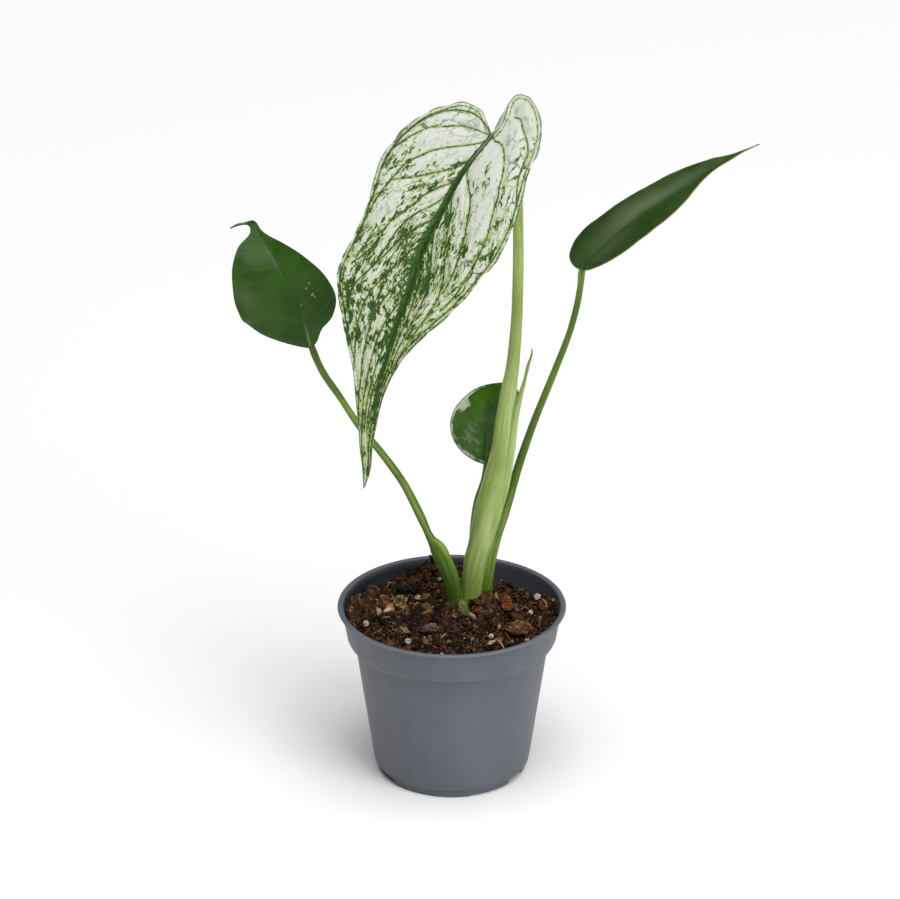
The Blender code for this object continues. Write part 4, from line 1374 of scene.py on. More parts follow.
@dataclass
class Stalk:
    """A stem-like part swept along a smooth route with an oval section.

    Each section is x, y, z, half width, half depth. Angles round it are degrees from the right-hand
    side, so that 270 faces the front, and its spots are given by height and angle.
    """

    name: str
    node: str
    slot: Slot
    sections: list[tuple[float, float, float, float, float]]
    first_way: Triple | None = None
    last_way: Triple | None = None
    rings: int = 200
    sides: int = 40
    rib_count: int = 7
    rib_height: float = 0.04
    uneven: float = 0.08
    uneven_length: float = 9.0
    crease: Line | None = None  # height, angle of a fold that runs up the front
    crease_height: float = 0.0
    # Spots that change paleness: partly the stalk's own pale streaks, partly painted highlight and painted
    # shade on one side.
    pale_and_painted_light_spots: tuple[Spot, ...] = ()
    pale_base: float = 0.36
    dry_spots: tuple[Spot, ...] = ()

    def stations(self) -> tuple[Array, Array, Array, Array]:
        """Lay out the route.

        Returns:
            Centres, half sizes, the ways across and the ways into the depth, one row a ring.
        """
        knots = np.asarray(self.sections, float)
        scale = np.array([1, 1, 1, 2, 2])
        along = np.linspace(0, chord_length(knots * scale), self.rings)
        found = curve_at(knots * scale, along) / scale
        centre = found[:, :3]
        way = unit(np.gradient(centre, axis=0))
        if self.first_way is not None:
            way[0] = unit(np.asarray(self.first_way, float))
        if self.last_way is not None:
            way[-1] = unit(np.asarray(self.last_way, float))
        deep = unit(np.array([0.0, 1.0, 0.0]) - way[:, 1:2] * way)
        return centre, np.maximum(found[:, 3:], 0.05), np.cross(deep, way), deep

    def build(self, finish: Material) -> None:
        """Build the stalk.

        Args:
            finish: Its skin.
        """
        centre, half, across, deep = self.stations()
        turn = np.linspace(0, 2 * np.pi, self.sides, endpoint=False)[None]
        high = np.broadcast_to(centre[:, 2:3], (self.rings, self.sides))
        grown = self.rib_height * np.cos(self.rib_count * turn) * np.ones((self.rings, 1))
        gap = np.full(high.shape, 9.0)
        size = half.mean(1)[:, None]
        if self.crease:
            line = np.asarray(self.crease, float)
            where = np.radians(np.interp(high[:, 0], line[:, 0], line[:, 1]))[:, None]
            off = (turn - where + np.pi) % (2 * np.pi) - np.pi
            over = np.maximum(line[0, 0] - high, high - line[-1, 0]).clip(0, None)
            gap = np.hypot(off * size, over)
            grown = grown + self.crease_height * np.exp(-((gap / 0.55) ** 2))
            grown = grown - 0.6 * self.crease_height * np.exp(-(((off * size + 1.1) / 0.9) ** 2) - over**2)
        points = centre[:, None] + across[:, None] * (np.cos(turn) * (half[:, :1] + grown))[..., None]
        points = points + deep[:, None] * (np.sin(turn) * (half[:, 1:] + grown))[..., None]
        rough = self.uneven * rough_noise(points, self.uneven_length, 11, 2)
        points += rough[..., None] * unit(points - centre[:, None])
        pale, dry = self.pale_base * np.ones(high.shape), np.zeros(high.shape)
        # The spots are partly real pale streaks and partly painted highlight and painted shade.
        for layer, spots in ((pale, self.pale_and_painted_light_spots), (dry, self.dry_spots)):
            for height, angle, tall, wide, change in spots:
                off = (np.degrees(turn) - angle + 180) % 360 - 180
                layer += change * np.exp(-(((high - height) / tall) ** 2) - (off / wide) ** 2)
        length = np.concatenate([[0], np.cumsum(np.linalg.norm(np.diff(centre, axis=0), axis=1))])
        length = np.broadcast_to(length[:, None], high.shape)
        # The unrolled coordinate runs out and back, so that it meets itself behind.
        round_it = np.abs((np.degrees(turn) - 90) % 360 - 180) / 180 * np.pi * np.median(size) + 0 * high
        layers = {
            "flow": np.stack([length, round_it, 0 * high], -1).reshape(-1, 3),
            "pale": pale.reshape(-1),
            "dry": dry.reshape(-1),
            "crease": gap.reshape(-1),
        }
        ends = [np.arange(self.sides)[None], (self.rings - 1) * self.sides + np.arange(self.sides)[None]]
        faces = [grid_faces(self.rings, self.sides, closed=True), *ends]
        piece = make_piece(self.name, points.reshape(-1, 3), faces, finish, layers, sharp=70.0)
        settle(piece, self.slot, self.node)


# ---- pot


@dataclass
class NurseryPot:
    """Round moulded pot with a flared collar, a rolled lip and a notched foot."""

    top_r: float = 60.0
    height: float = 94.0
    collar_r: float = 57.5
    collar_z: float = 75.4
    body_top_r: float = 50.9
    body_bottom_r: float = 41.4
    foot_r: float = 39.4
    wall: float = 1.1
    floor_z: float = 3.7
    pad_count: int = 3  # pads that the foot ring stands on, with a notch between each two
    pad_half_angle: float = 15.0
    notch_half_angle: float = 10.0
    relief: float = 0.9  # height of the ring beside its pads
    notch_level: float = 3.0
    hole_count: int = 6
    hole_start: float = 31.2  # degrees from the right-hand side to the first hole
    hole_r: float = 4.0
    hole_ring_r: float = 29.0
    hub_r: float = 6.0
    segments: int = 264
    step: float = 2.0  # mm between points on a straight run of the section

    def inner(self) -> Line:
        """Lay out the section of the inside.

        Returns:
            Its corners as radius and height, from the rim down to the floor.
        """
        return [
            (self.top_r - 2.3, self.height - 0.05), (self.top_r - 3.0, self.height - 0.5),
            (self.collar_r - self.wall, self.height - 3.5), (self.collar_r - 4.0, self.collar_z + 3.6),
            (self.collar_r - 5.5, self.collar_z + 1.0),
            (self.body_top_r + 0.6 - self.wall, self.collar_z - 0.6),
            (self.body_top_r - self.wall, self.collar_z - 2.2),
            (self.body_bottom_r - self.wall, self.floor_z + 4.4),
            (self.body_bottom_r - 0.8 - self.wall, self.floor_z + 2.2),
            (self.body_bottom_r - 3.0 - self.wall, self.floor_z + self.wall),
        ]

    def outer(self) -> Line:
        """Lay out the section of the outside.

        Returns:
            Its corners as radius and height, from the foot up to the rim.
        """
        return [
            (self.foot_r, self.floor_z - 0.2), (self.foot_r + 0.7, self.floor_z + 0.4),
            (self.body_bottom_r - 0.4, self.floor_z + 1.6), (self.body_bottom_r, self.floor_z + 3.8),
            (self.body_top_r, self.collar_z - 2.2), (self.body_top_r + 0.7, self.collar_z - 1.4),
            (self.collar_r - 4.6, self.collar_z - 0.6), (self.collar_r - 3.1, self.collar_z + 0.3),
            (self.collar_r - 2.4, self.collar_z + 1.9), (self.collar_r, self.height - 2.6),
            (self.top_r - 1.0, self.height - 1.75), (self.top_r - 0.2, self.height - 1.25),
            (self.top_r, self.height - 0.8), (self.top_r - 0.2, self.height - 0.3),
            (self.top_r - 0.8, self.height), (self.top_r - 1.6, self.height + 0.02),
        ]

    def foot_level(self, angle: Array) -> Array:
        """Find the height of the foot ring's underside, which has short ramps between its levels.

        Args:
            angle: Degrees round the pot.

        Returns:
            One height for each angle.
        """
        pitch = 360.0 / self.pad_count
        off = np.abs((angle - 270.0 + pitch / 2) % pitch - pitch / 2)
        step = smooth_step(self.pad_half_angle - 0.7, self.pad_half_angle + 0.7, off)
        notch_at = pitch / 2 - self.notch_half_angle
        notch = smooth_step(notch_at - 0.6, notch_at + 0.6, off)
        return self.relief * step + (self.notch_level - self.relief) * notch

    def refined(self, section: Line) -> Line:
        """Split a section's long runs.

        Args:
            section: Its corners.

        Returns:
            The corners with points between them.
        """
        found: Line = []
        for (r0, z0), (r1, z1) in zip(section[:-1], section[1:]):
            count = max(1, round(math.hypot(r1 - r0, z1 - z0) / self.step))
            shares = [part / count for part in range(count)]
            found += [(r0 + (r1 - r0) * share, z0 + (z1 - z0) * share) for share in shares]
        return found + [section[-1]]

    def build(self, finish: Material) -> None:
        """Turn the pot and bore its drain holes.

        Args:
            finish: Its plastic.
        """
        ring_in = self.foot_r - 2 * self.wall
        under = [
            (0.6, 0.0), (self.hub_r, 0.0), (self.hub_r + 0.4, self.floor_z), (ring_in - 0.3, self.floor_z),
        ]
        body = self.outer() + self.inner() + [(0.6, self.floor_z + self.wall)]
        low = [(ring_in, 0.15), (ring_in + 0.15, 0.0), (self.foot_r - 0.5, 0.0), (self.foot_r - 0.25, 0.2)]
        start, rest = self.refined(under), self.refined(body)
        section = start + low + rest
        radius = np.array([point[0] for point in section])
        height = np.array([point[1] for point in section])
        turn = np.linspace(0, 2 * np.pi, self.segments, endpoint=False)
        level = self.foot_level(np.degrees(turn))[:, None]
        high = np.broadcast_to(height, (self.segments, len(height))).copy()
        foot = slice(len(start), len(start) + len(low))
        high[:, foot] = level + height[foot]
        x, y = radius * np.cos(turn)[:, None], radius * np.sin(turn)[:, None]
        points = np.stack([x, y, high], -1).reshape(-1, 3)
        outside = np.arange(len(section)) < len(start) + len(low) + len(self.refined(self.outer()))
        # A thin lighter band along the top of the lip: a painted highlight.
        lip_highlight = np.exp(-(((height - self.height + 0.4) / 0.6) ** 2)) * outside
        # A dark line under the collar's edge: painted shade.
        shade = np.exp(-(((height - self.collar_z + 0.9) / 0.5) ** 2)) * outside
        shade = shade * (radius > self.body_top_r - 0.9)
        per_row = len(section)
        wrap = np.arange(self.segments)[:, None] * per_row
        beside = (wrap + per_row) % (self.segments * per_row)
        step = np.arange(per_row - 1)[None]
        sheet = np.stack([wrap + step, beside + step, beside + step + 1, wrap + step + 1], -1)
        caps = [wrap[:, 0][None], (wrap[:, 0] + per_row - 1)[None]]
        # Painted shade on the inside of the wall just below the rim, darkest at the back left.
        painted_inner_shade = 1.1 * smooth_step(self.height - 0.6, self.height - 3.2, height) * ~outside
        painted_inner_shade = painted_inner_shade[None] * (0.62 + 0.38 * np.cos(turn - 2.6))[:, None]
        spread = {"edge": lip_highlight, "shade": shade + painted_inner_shade}
        layers = {layer: np.broadcast_to(value, high.shape).reshape(-1) for layer, value in spread.items()}
        pot = make_piece("moulded_pot", points, [sheet.reshape(-1, 4), *caps], finish, layers, sharp=38.0)
        self.bore(pot)
        settle(pot, Slot.POT, "pot")

    def bore(self, pot: Object) -> None:
        """Cut the round drain holes through the floor.

        Args:
            pot: The solid pot.
        """
        built = bmesh.new()
        for number in range(self.hole_count):
            turn = math.radians(self.hole_start + 360.0 * number / self.hole_count)
            radius = self.hole_r * MM
            made = bmesh.ops.create_cone(
                built, cap_ends=True, segments=40, radius1=radius, radius2=radius, depth=5 * MM
            )
            away = self.hole_ring_r
            spot = (away * math.cos(turn), away * math.sin(turn), self.floor_z + 0.5)
            bmesh.ops.translate(built, verts=made["verts"], vec=[part * MM for part in spot])
        mesh = bpy.data.meshes.new("drain_cutters")
        built.to_mesh(mesh)
        built.free()
        cutter = bpy.data.objects.new("drain_cutters", mesh)
        bpy.context.scene.collection.objects.link(cutter)
        cut = pot.modifiers.new("drain_holes", "BOOLEAN")
        cut.operation = "DIFFERENCE"
        cut.object = cutter
        bpy.context.view_layer.update()
        graph = bpy.context.evaluated_depsgraph_get()
        bored = bpy.data.meshes.new_from_object(pot.evaluated_get(graph))
        pot.modifiers.clear()
        pot.data = bored
        bpy.data.objects.remove(cutter, do_unlink=True)


# ---- soil


@dataclass
class PottingSoil:
    """The bed of peat in the pot with the crumbs and fibres that lie loose on it."""

    pot: NurseryPot
    level: float = 84.0  # height of the top between its mounds
    mounds: tuple[tuple[float, float, float, float], ...] = (  # x, y, radius, height
        (8.0, 9.0, 16.0, 7.5), (-6.0, 51.0, 22.0, 8.0), (-50.0, 12.0, 15.0, 7.5), (52.0, 10.0, 17.0, 6.0),
        (32.0, 44.0, 13.0, -2.0), (0.0, -52.0, 26.0, -2.0),
    )
    stems: tuple[Triple, ...] = (  # x, y, clear radius round each stalk
        (9.6, 12.6, 5.0), (2.0, 6.6, 4.2), (19.0, 17.5, 3.4), (10.3, 20.4, 1.6),
    )
    banks: tuple[tuple[float, float, float, float], ...] = (  # loose peat heaped against the stalks
        (19.5, 8.0, 5.5, 8.5), (-3.5, 3.0, 5.0, 4.0),
    )
    clump: Triple = (-30.0, 13.0, 8.0)  # olive fibrous lump: x, y, radius
    lump: float = 7.0  # size of the top's large lumps
    crumb: float = 3.4  # size of the crumbs pressed into it
    crumb_reach: float = 55.0  # how far from the pot's axis crumbs lie
    fibre_reach: float = 52.0
    rings: int = 112
    segments: int = 310
    lumps: int = 1100
    flakes: int = 7400
    fibres: int = 2500
    seed: int = 20

    def height(self, x: Array, y: Array) -> Array:
        """Find the level of the bed's top: the CAD's surface, roughened by lumps.

        Args:
            x: Places to the right of the pot's axis.
            y: Places behind it.

        Returns:
            One height for each place.
        """
        level = np.full(np.shape(x), self.level)
        for centre_x, centre_y, radius, high in self.mounds + self.banks:
            level = level + high * np.exp(-((x - centre_x) ** 2 + (y - centre_y) ** 2) / radius**2)
        waves = 0.5 * np.sin(0.43 * x + 0.9) * np.sin(0.39 * y - 0.4)
        level = level + waves + 0.3 * np.sin(0.83 * x - 0.61 * y)
        spot = np.stack([x, y, 0 * x], -1)
        lumps = 1.7 * rough_noise(spot, self.lump, self.seed, 4)
        lumps = lumps - 1.9 * np.abs(rough_noise(spot, self.crumb, self.seed + 9, 3))
        off = np.hypot(x - self.clump[0], y - self.clump[1]) / self.clump[2]
        return level + lumps + 2.2 * np.exp(-(off**2))

    def edge(self, height: Array) -> Array:
        """Radius of the pot's inside at a height, less a hair."""
        wall = np.asarray(self.pot.inner()[::-1])
        return np.interp(height, wall[:, 1], wall[:, 0]) - 0.15

    def build(self, finish: Material) -> None:
        """Build the bed: a rough top, and sides and bottom against the pot.

        Args:
            finish: The peat.
        """
        turn = np.linspace(0, 2 * np.pi, self.segments, endpoint=False)
        rim = self.edge(np.full(turn.shape, self.level))
        for _ in range(3):
            rim = self.edge(self.height(rim * np.cos(turn), rim * np.sin(turn)))
        share = np.linspace(0, 1, self.rings)[:, None] ** 0.75
        x, y = share * rim * np.cos(turn), share * rim * np.sin(turn)
        top = np.stack([x, y, self.height(x, y)], -1)
        rows = [top]
        collar, floor = self.pot.collar_z, self.pot.floor_z
        for level in (collar + 1.0, collar - 2.4, 40.0, floor + 4.4, floor + 1.4):
            radius = float(self.edge(np.array(level)))
            ring = [radius * np.cos(turn), radius * np.sin(turn), np.full(turn.shape, level)]
            rows.append(np.stack(ring, -1)[None])
        points = np.concatenate(rows).reshape(-1, 3)
        count = self.rings + len(rows) - 1
        tone = 0.08 + 0.16 * rough_noise(points, 5.0, 31, 3)
        # Darker lower down: painted shade in the bed's hollows.
        hollow = points[:, 2] - (self.level - 1)
        tone = np.clip(tone + 0.05 * hollow, 0.02, 0.4)
        cap = ((count - 1) * self.segments + np.arange(self.segments))[None]
        faces = [grid_faces(count, self.segments, closed=True), cap]
        bed = make_piece("peat_bed", points, faces, finish, {"tone": tone}, sharp=60.0)
        settle(bed, Slot.PEAT, "potting_soil")

    def spread(self, rng: np.random.Generator, count: int, most: float) -> tuple[Array, Array]:
        """Scatter places over the bed, clear of the stalks.

        Args:
            rng: Seeded source of the places.
            count: How many to try.
            most: Largest distance from the pot's axis.

        Returns:
            Their x and y.
        """
        away = most * np.sqrt(rng.random(count))
        turn = 2 * np.pi * rng.random(count)
        x, y = away * np.cos(turn), away * np.sin(turn)
        clear = np.ones(count, bool)
        for stem_x, stem_y, radius in self.stems:
            clear &= np.hypot(x - stem_x, y - stem_y) > radius
        return x[clear], y[clear]

    def scatter_crumbs(self, name: str, count: int, splits: int, size: Line, finish: Material) -> None:
        """Strew uneven bits of peat, bark fines and grit, each with its own tone.

        Args:
            name: Name of the piece that they make.
            count: How many to try.
            splits: How finely each is divided.
            size: Smallest and extra radius, and how they spread between and how stretched they are.
            finish: The peat.
        """
        rng = np.random.default_rng(self.seed + count)
        ball = bmesh.new()
        bmesh.ops.create_icosphere(ball, subdivisions=splits, radius=1.0)
        shape = np.array([tuple(corner.co) for corner in ball.verts])
        skin = np.array([[corner.index for corner in face.verts] for face in ball.faces])
        ball.free()
        x, y = self.spread(rng, count, self.crumb_reach)
        count = len(x)
        (least, extra), (rarity, stretch) = size
        radius = least + extra * rng.random(count) ** rarity
        stretched = np.minimum(np.exp(rng.normal(0, stretch, (count, 3))), 1.9) * [1.15, 1.0, 0.5]
        spin = np.linalg.qr(rng.normal(size=(count, 3, 3)))[0]
        lump = shape[None] * (radius[:, None] * stretched)[:, None]
        lump = np.einsum("nij,nkj->nki", spin, lump)
        centre = np.stack([x, y, self.height(x, y) + 0.3 * radius], -1)
        points = centre[:, None] + lump
        bumpy = rough_noise(points, 0.8, 41, 2)[..., None] * 0.75
        points = points + (points - centre[:, None]) * bumpy
        away = np.hypot(points[..., 0], points[..., 1])
        inside = np.minimum(1, (self.edge(points[..., 2]) - 0.1) / np.maximum(away, 1e-6))
        points[..., :2] *= inside[..., None]
        off = np.hypot(x - self.clump[0], y - self.clump[1]) / self.clump[2]
        tone = 0.06 + 0.72 * rng.random(count) ** 2.2 + 0.36 * np.exp(-(off**2))
        tone += 0.26 * rough_noise(np.stack([x, y, 0 * x], -1), 8.0, 77, 3)
        tone -= 0.14 * smooth_step(26, 46, y) * smooth_step(14, -16, x)
        tone += 0.1 * smooth_step(0, -30, y) * rng.random(count)
        tone = np.minimum(tone + np.where(rng.random(count) > 0.97, 0.3, 0.0), 0.86)
        corners = len(shape)
        faces = (np.arange(count)[:, None, None] * corners + skin[None]).reshape(-1, 3)
        layers = {"tone": np.repeat(tone, corners)}
        crumbs = make_piece(name, points.reshape(-1, 3), [faces], finish, layers, weld=False)
        settle(crumbs, Slot.PEAT)

    def scatter_fibres(self, finish: Material) -> None:
        """Lay thin curved root and coir fibres over the crumbs.

        Args:
            finish: The peat.
        """
        rng = np.random.default_rng(self.seed + 1)
        x, y = self.spread(rng, self.fibres, self.fibre_reach)
        sides, rings = 4, 7
        points, faces, tones = [], [], []
        for number, (start_x, start_y) in enumerate(zip(x, y)):
            # Most fibres are short, thin and lie low; a few are long, thick or stand up at one end.
            length = 1.4 + 7.5 * rng.random() ** 2.4
            turn = 2 * np.pi * rng.random()
            bend = rng.normal(0, 1.3)
            radius = 0.08 + 0.3 * rng.random() ** 3
            part = np.linspace(0, 1, rings)
            angle = turn + bend * part
            line_x = start_x + np.cumsum(np.cos(angle)) * length / rings
            line_y = start_y + np.cumsum(np.sin(angle)) * length / rings
            far = np.hypot(line_x, line_y)
            pull = np.minimum(1, (self.fibre_reach + 2.0) / far)
            line_x, line_y = line_x * pull, line_y * pull
            rise = (0.5 + 1.4 * rng.random() ** 3) * np.sin(np.pi * part) + 1.2 * rng.random() ** 4 * part
            line_z = self.height(line_x, line_y) + radius + rise
            line = np.stack([line_x, line_y, line_z], -1)
            way = unit(np.gradient(line, axis=0) + 1e-6)
            across = unit(np.cross(way, [0.0, 0.0, 1.0]) + 1e-6)
            over = np.cross(across, way)
            thin = radius * (1 - 0.75 * np.abs(2 * part - 1) ** 3)
            spin = 2 * np.pi * np.arange(sides) / sides
            ring = across[:, None] * np.cos(spin)[:, None] + over[:, None] * np.sin(spin)[:, None]
            points.append((line[:, None] + ring * thin[:, None, None]).reshape(-1, 3))
            base = number * sides * rings
            faces.append(base + grid_faces(rings, sides, closed=True))
            tones.append(np.full(sides * rings, 0.1 + 0.7 * rng.random() ** 1.6))
        ends = [base + np.arange(sides) for base in range(0, len(x) * sides * rings, sides)]
        caps = np.array([ends[i] for i in range(len(ends)) if i % rings in (0, rings - 1)])
        layers = {"tone": np.concatenate(tones)}
        faces.append(caps)
        fibres = make_piece("root_fibres", np.concatenate(points), faces, finish, layers, weld=False)
        settle(fibres, Slot.PEAT)


@dataclass
class LoosePiece:
    """Something that lies on the soil, roughened from the CAD's plain shape of it."""

    node: str
    name: str
    slot: Slot
    splits: int  # how many times each face is split in four
    bump: float  # height of its roughness
    size: float  # size of its largest lumps

    def build(self, finish: Material, seed: int) -> None:
        """Split the plain shape finely, break up its surface and settle it.

        Args:
            finish: Its material.
            seed: Number that picks its own roughness.
        """
        built = bmesh.new()
        built.from_mesh(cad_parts[self.node].data)
        bmesh.ops.remove_doubles(built, verts=built.verts, dist=1e-6)
        bmesh.ops.triangulate(built, faces=built.faces)
        for _ in range(self.splits):
            bmesh.ops.subdivide_edges(built, edges=built.edges, cuts=1, use_grid_fill=True)
            bmesh.ops.smooth_vert(
                built, verts=built.verts, factor=0.16, use_axis_x=True, use_axis_y=True, use_axis_z=True
            )
        built.normal_update()
        spots = np.array([tuple(corner.co) for corner in built.verts]) / MM
        away = np.array([tuple(corner.normal) for corner in built.verts])
        rise = self.bump * (0.5 - np.abs(rough_noise(spots * [0.6, 1.2, 2.2], self.size, seed, 4)))
        spots = spots + away * rise[:, None]
        faces = np.array([[corner.index for corner in face.verts] for face in built.faces])
        built.free()
        piece = make_piece(self.name, spots, [faces], finish, sharp=60.0)
        settle(piece, self.slot, self.node)


# ---- plant


@dataclass
class Monstera:
    """The plant: four leaves on stalks, a rolled new leaf, a torn sheath and the stem under them."""

    crown_top: float = 80.3  # height at which the stalks stand on the buried stem

    def blades(self) -> list[tuple[Blade, Material]]:
        """Lay down the four blades and their skins.

        Returns:
            The large, left, right and small blade, each with its skin.
        """
        large = MarbledBlade(
            "large_leaf_blade", "blade_large_variegated", Slot.VARIEGATED,
            route=[
                (20, -2, 357), (5, -13, 341), (-6, -23, 323), (-14, -30, 309), (-19.5, -37, 294),
                (-25, -43, 280), (-29.5, -47, 268), (-33.5, -50.5, 255), (-38.5, -54, 238),
                (-42, -57, 217), (-43.9, -58, 192), (-44.6, -58.2, 188.9), (-47.2, -58.4, 187.7),
            ],
            face=[(-0.10, -0.80, 0.60), (-0.05, -0.90, 0.42), (0.05, -0.95, 0.30)],
            left=[
                (0, 0), (-3.5, 6.5), (-7, 14), (-4.5, 21), (5, 29.7), (19, 37.3), (33, 40.4), (50, 38.2),
                (66, 35.8), (82, 38), (95, 37.8), (107, 31.2), (122, 22.2), (140, 12.5), (160, 6.2),
                (178, 3.2), (191, 1.2), (195.5, 0),
            ],
            right=[
                (0, 0), (-7, 0.2), (-13, -2), (-20, -4.8), (-25, -4), (-27.6, 0.8), (-26.2, 7),
                (-20, 16.3), (-9.5, 24.2), (4, 29.3), (20, 35), (38, 38.2), (56, 38.2), (73, 34.8),
                (88, 27.5), (105, 17.4), (122, 9), (145, 4.2), (168, 3), (190, 1.1), (195.5, 0),
            ],
            scallop=0.8,
            fold=17, camber=0.0045, rib=1.3, curl_back=9.0, fan_rows=110, body_rows=300, columns=84,
            under_columns=18, puff=0.65, puff_reach=2.6, wave=0.5, frill=1.3, margin_vein=1.9,
        )
        left = SpeckledBlade(
            "left_leaf_blade", "blade_left", Slot.GREEN_LEAF,
            route=[
                (-72, -1, 241), (-74.5, -4, 254), (-78.5, -6, 268), (-85, -6, 283), (-93, -3, 296),
                (-98.5, 1.5, 304), (-101, 5, 306.5), (-105, 9, 305.5), (-109, 12, 303.5), (-113, 14, 301),
            ],
            face=[(-0.30, -0.85, 0.50), (-0.30, -0.85, 0.50), (-0.20, -0.80, 0.60), (-0.10, -0.60, 0.80),
                  (0.10, 0.50, 0.85)],
            left=[
                (0, 0), (3.5, 3.5), (12.5, 9), (20, 17.5), (27, 21.5), (37, 20), (48, 14.5), (60, 8),
                (70, 2.4), (80, 2.2), (92, 0),
            ],
            right=[
                (0, 0), (2, 4), (5, 11.5), (11, 21.5), (24, 29.5), (38, 30), (50, 28), (60, 22.5),
                (68, 14), (73, 3), (80, 2.2), (92, 0),
            ],
            fold=14, camber=0.005, rib=0.9, seed=7, rib_fade=(4.0, 22.0), rib_least=0.03,
            scars=(
                (31, 9.5, -1), (31.6, 10.4, -1), (30.2, 10.8, -1), (37, 10.5, -1), (27, 2, -1),
                (35, 8, -1),
            ),
            # Patches of painted sheen on this leaf.
            painted_sheens=((58, 0, 9, 1.2, 0.25), (44, 23, 8, 4, 0.3), (62, 10, 5, 6, 0.06)),
        )
        right = SpeckledBlade(
            "right_leaf_blade", "blade_right", Slot.GREEN_LEAF,
            route=[
                (65, 12, 279), (80, 12, 294), (97, 14, 309), (115, 16, 320), (132, 18, 331),
                (147, 20, 340), (156, 21, 344),
            ],
            face=[(-0.38, -0.38, 0.87), (-0.40, -0.34, 0.90), (-0.35, -0.30, 0.90)],
            left=[
                (0, 0), (3, 4.5), (10, 9.2), (18, 13), (30, 16), (43, 17.8), (55, 15.8), (65, 11.7),
                (75, 6.4), (84, 1.7), (98, 0.9), (113, 0),
            ],
            right=[
                (0, 0), (-1.5, 3.5), (-1.3, 11), (2.5, 16.6), (11, 19.7), (24, 18.9), (38, 16.3),
                (52, 15.2), (66, 13.8), (78, 10.6), (88, 6.6), (98, 2.3), (113, 0),
            ],
            fold=8, camber=0.004, rib=0.8, seed=9, rib_fade=(10.0, 60.0), frill=0.8, frill_length=9.0,
            # Painted sheen: a grey band along the midrib and patches beside it.
            painted_sheens=((52, 3.5, 34, 3.5, 0.5), (20, -4, 14, 5, 0.3), (34, 8, 24, 5, 0.3)),
        )
        small = PatchedBlade(
            "small_leaf_blade", "blade_small_variegated", Slot.SMALL_LEAF,
            route=[
                (18, 24, 163.5), (18, 23.5, 175.5), (19, 23.5, 186.5), (21.5, 24.5, 198.5),
                (27, 27, 208.5),
            ],
            face=[(-0.10, -0.90, 0.40), (-0.10, -0.85, 0.45), (-0.10, -0.80, 0.50)],
            left=[(0, 0), (2, 4.5), (9, 9), (21, 12.6), (34, 14.8), (44, 12.8), (49, 6.5), (48, 0)],
            right=[
                (0, 0), (2.5, 5), (7, 12.5), (13, 17.5), (20, 20), (28, 19), (36, 13.5), (43, 6.5),
                (48, 0),
            ],
            fold=8, camber=0.006, rib=0.6, body_rows=120, columns=40, lateral_every=14, puff=0.15, wave=0.2,
        )
        # The right leaf's darker olive skin; its haze colour is that of a painted sheen.
        older = GreenLamina(
            "older_leaf_skin", "#223714", "#334D1E", haze="#6E7C62", rib="#2F5218", edge="#5F7F38"
        )
        skins = VariegatedLamina(), GreenLamina(), older, PatchedLamina()
        return [(blade, skin.material()) for blade, skin in zip((large, left, right, small), skins)]

    def stalks(self, blades: list[Blade]) -> None:
        """Build the four stalks up to their blades, the rolled new leaf and the torn sheath.

        Args:
            blades: The large, left, right and small blades.
        """
        pale = StalkSkin("pale_stalk_skin", "#687E34", "#89A04E", "#A3B76B", "#CED9AA").material()
        green = StalkSkin(
            "green_stalk_skin", "#325412", "#557522", "#7B9838", "#B4C46C", contrast=2.2
        ).material()
        foot = self.crown_top
        up = (0.0, 0.0, 1.0)
        ends = []
        for blade, below in zip(blades, (None, 1.0, 1.5, 0.0)):
            way, look, _ = (part[0] for part in blade.frame(np.array([0.0])))
            spot = blade.midrib(np.array([0.0]))[0]
            if below is None:
                ends.append(([(*(spot - 0.2 * look), 2.4, 2.4)], tuple(look)))
                continue
            runs = [
                (*(spot + below * (way - look)), 1.5 + 0.1 * below, 1.4),
                (*(spot + 4 * way - (0.3 + 0.6 * below) * look), 1.1, 0.8),
                (*(spot + 10 * way - (0.4 + 0.3 * below) * look), 0.6, 0.35),
            ]
            ends.append((runs, tuple(way)))
        Stalk(
            "main_leaf_stalk", "stalk_large", Slot.PALE_STALK,
            [
                (9.2, 12.5, foot, 5.2, 4.2), (10.7, 12.8, 100, 5.6, 4.5), (12.4, 13.0, 112, 6.2, 4.6),
                (14.8, 13.2, 122, 6.4, 4.6), (16.7, 13.5, 131, 6.8, 4.6), (19.3, 13.5, 143, 7.3, 4.5),
                (23.0, 13.5, 158, 7.0, 4.3), (25.2, 13.4, 169, 6.6, 4.1), (26.7, 13.4, 178, 6.2, 4.0),
                (27.1, 13.4, 187, 5.5, 3.9), (27.7, 13.5, 197, 4.8, 3.8), (28.8, 13.5, 206, 4.4, 3.7),
                (31.2, 13.5, 223, 3.5, 3.4), (33.1, 13.0, 248, 3.0, 3.0), (33.8, 12.3, 275, 2.8, 2.8),
                (33.6, 11.0, 305, 2.7, 2.7), (32.4, 9.0, 328, 2.6, 2.6), (29.3, 6.5, 343, 2.5, 2.5),
                *ends[0][0],
            ],
            up, ends[0][1], rings=240, sides=60, rib_count=11,
            # Lighter on its right front and darker on its left: partly pale streaks, partly painted
            # highlight and painted shade.
            pale_and_painted_light_spots=(
                (178, 325, 32, 40, 0.34), (128, 285, 16, 28, 0.24), (260, 250, 50, 90, -0.06),
                (205, 270, 26, 60, 0.1), (130, 212, 60, 26, -0.16), (96, 250, 8, 80, -0.08),
            ),
            pale_base=0.5,
        ).build(pale)
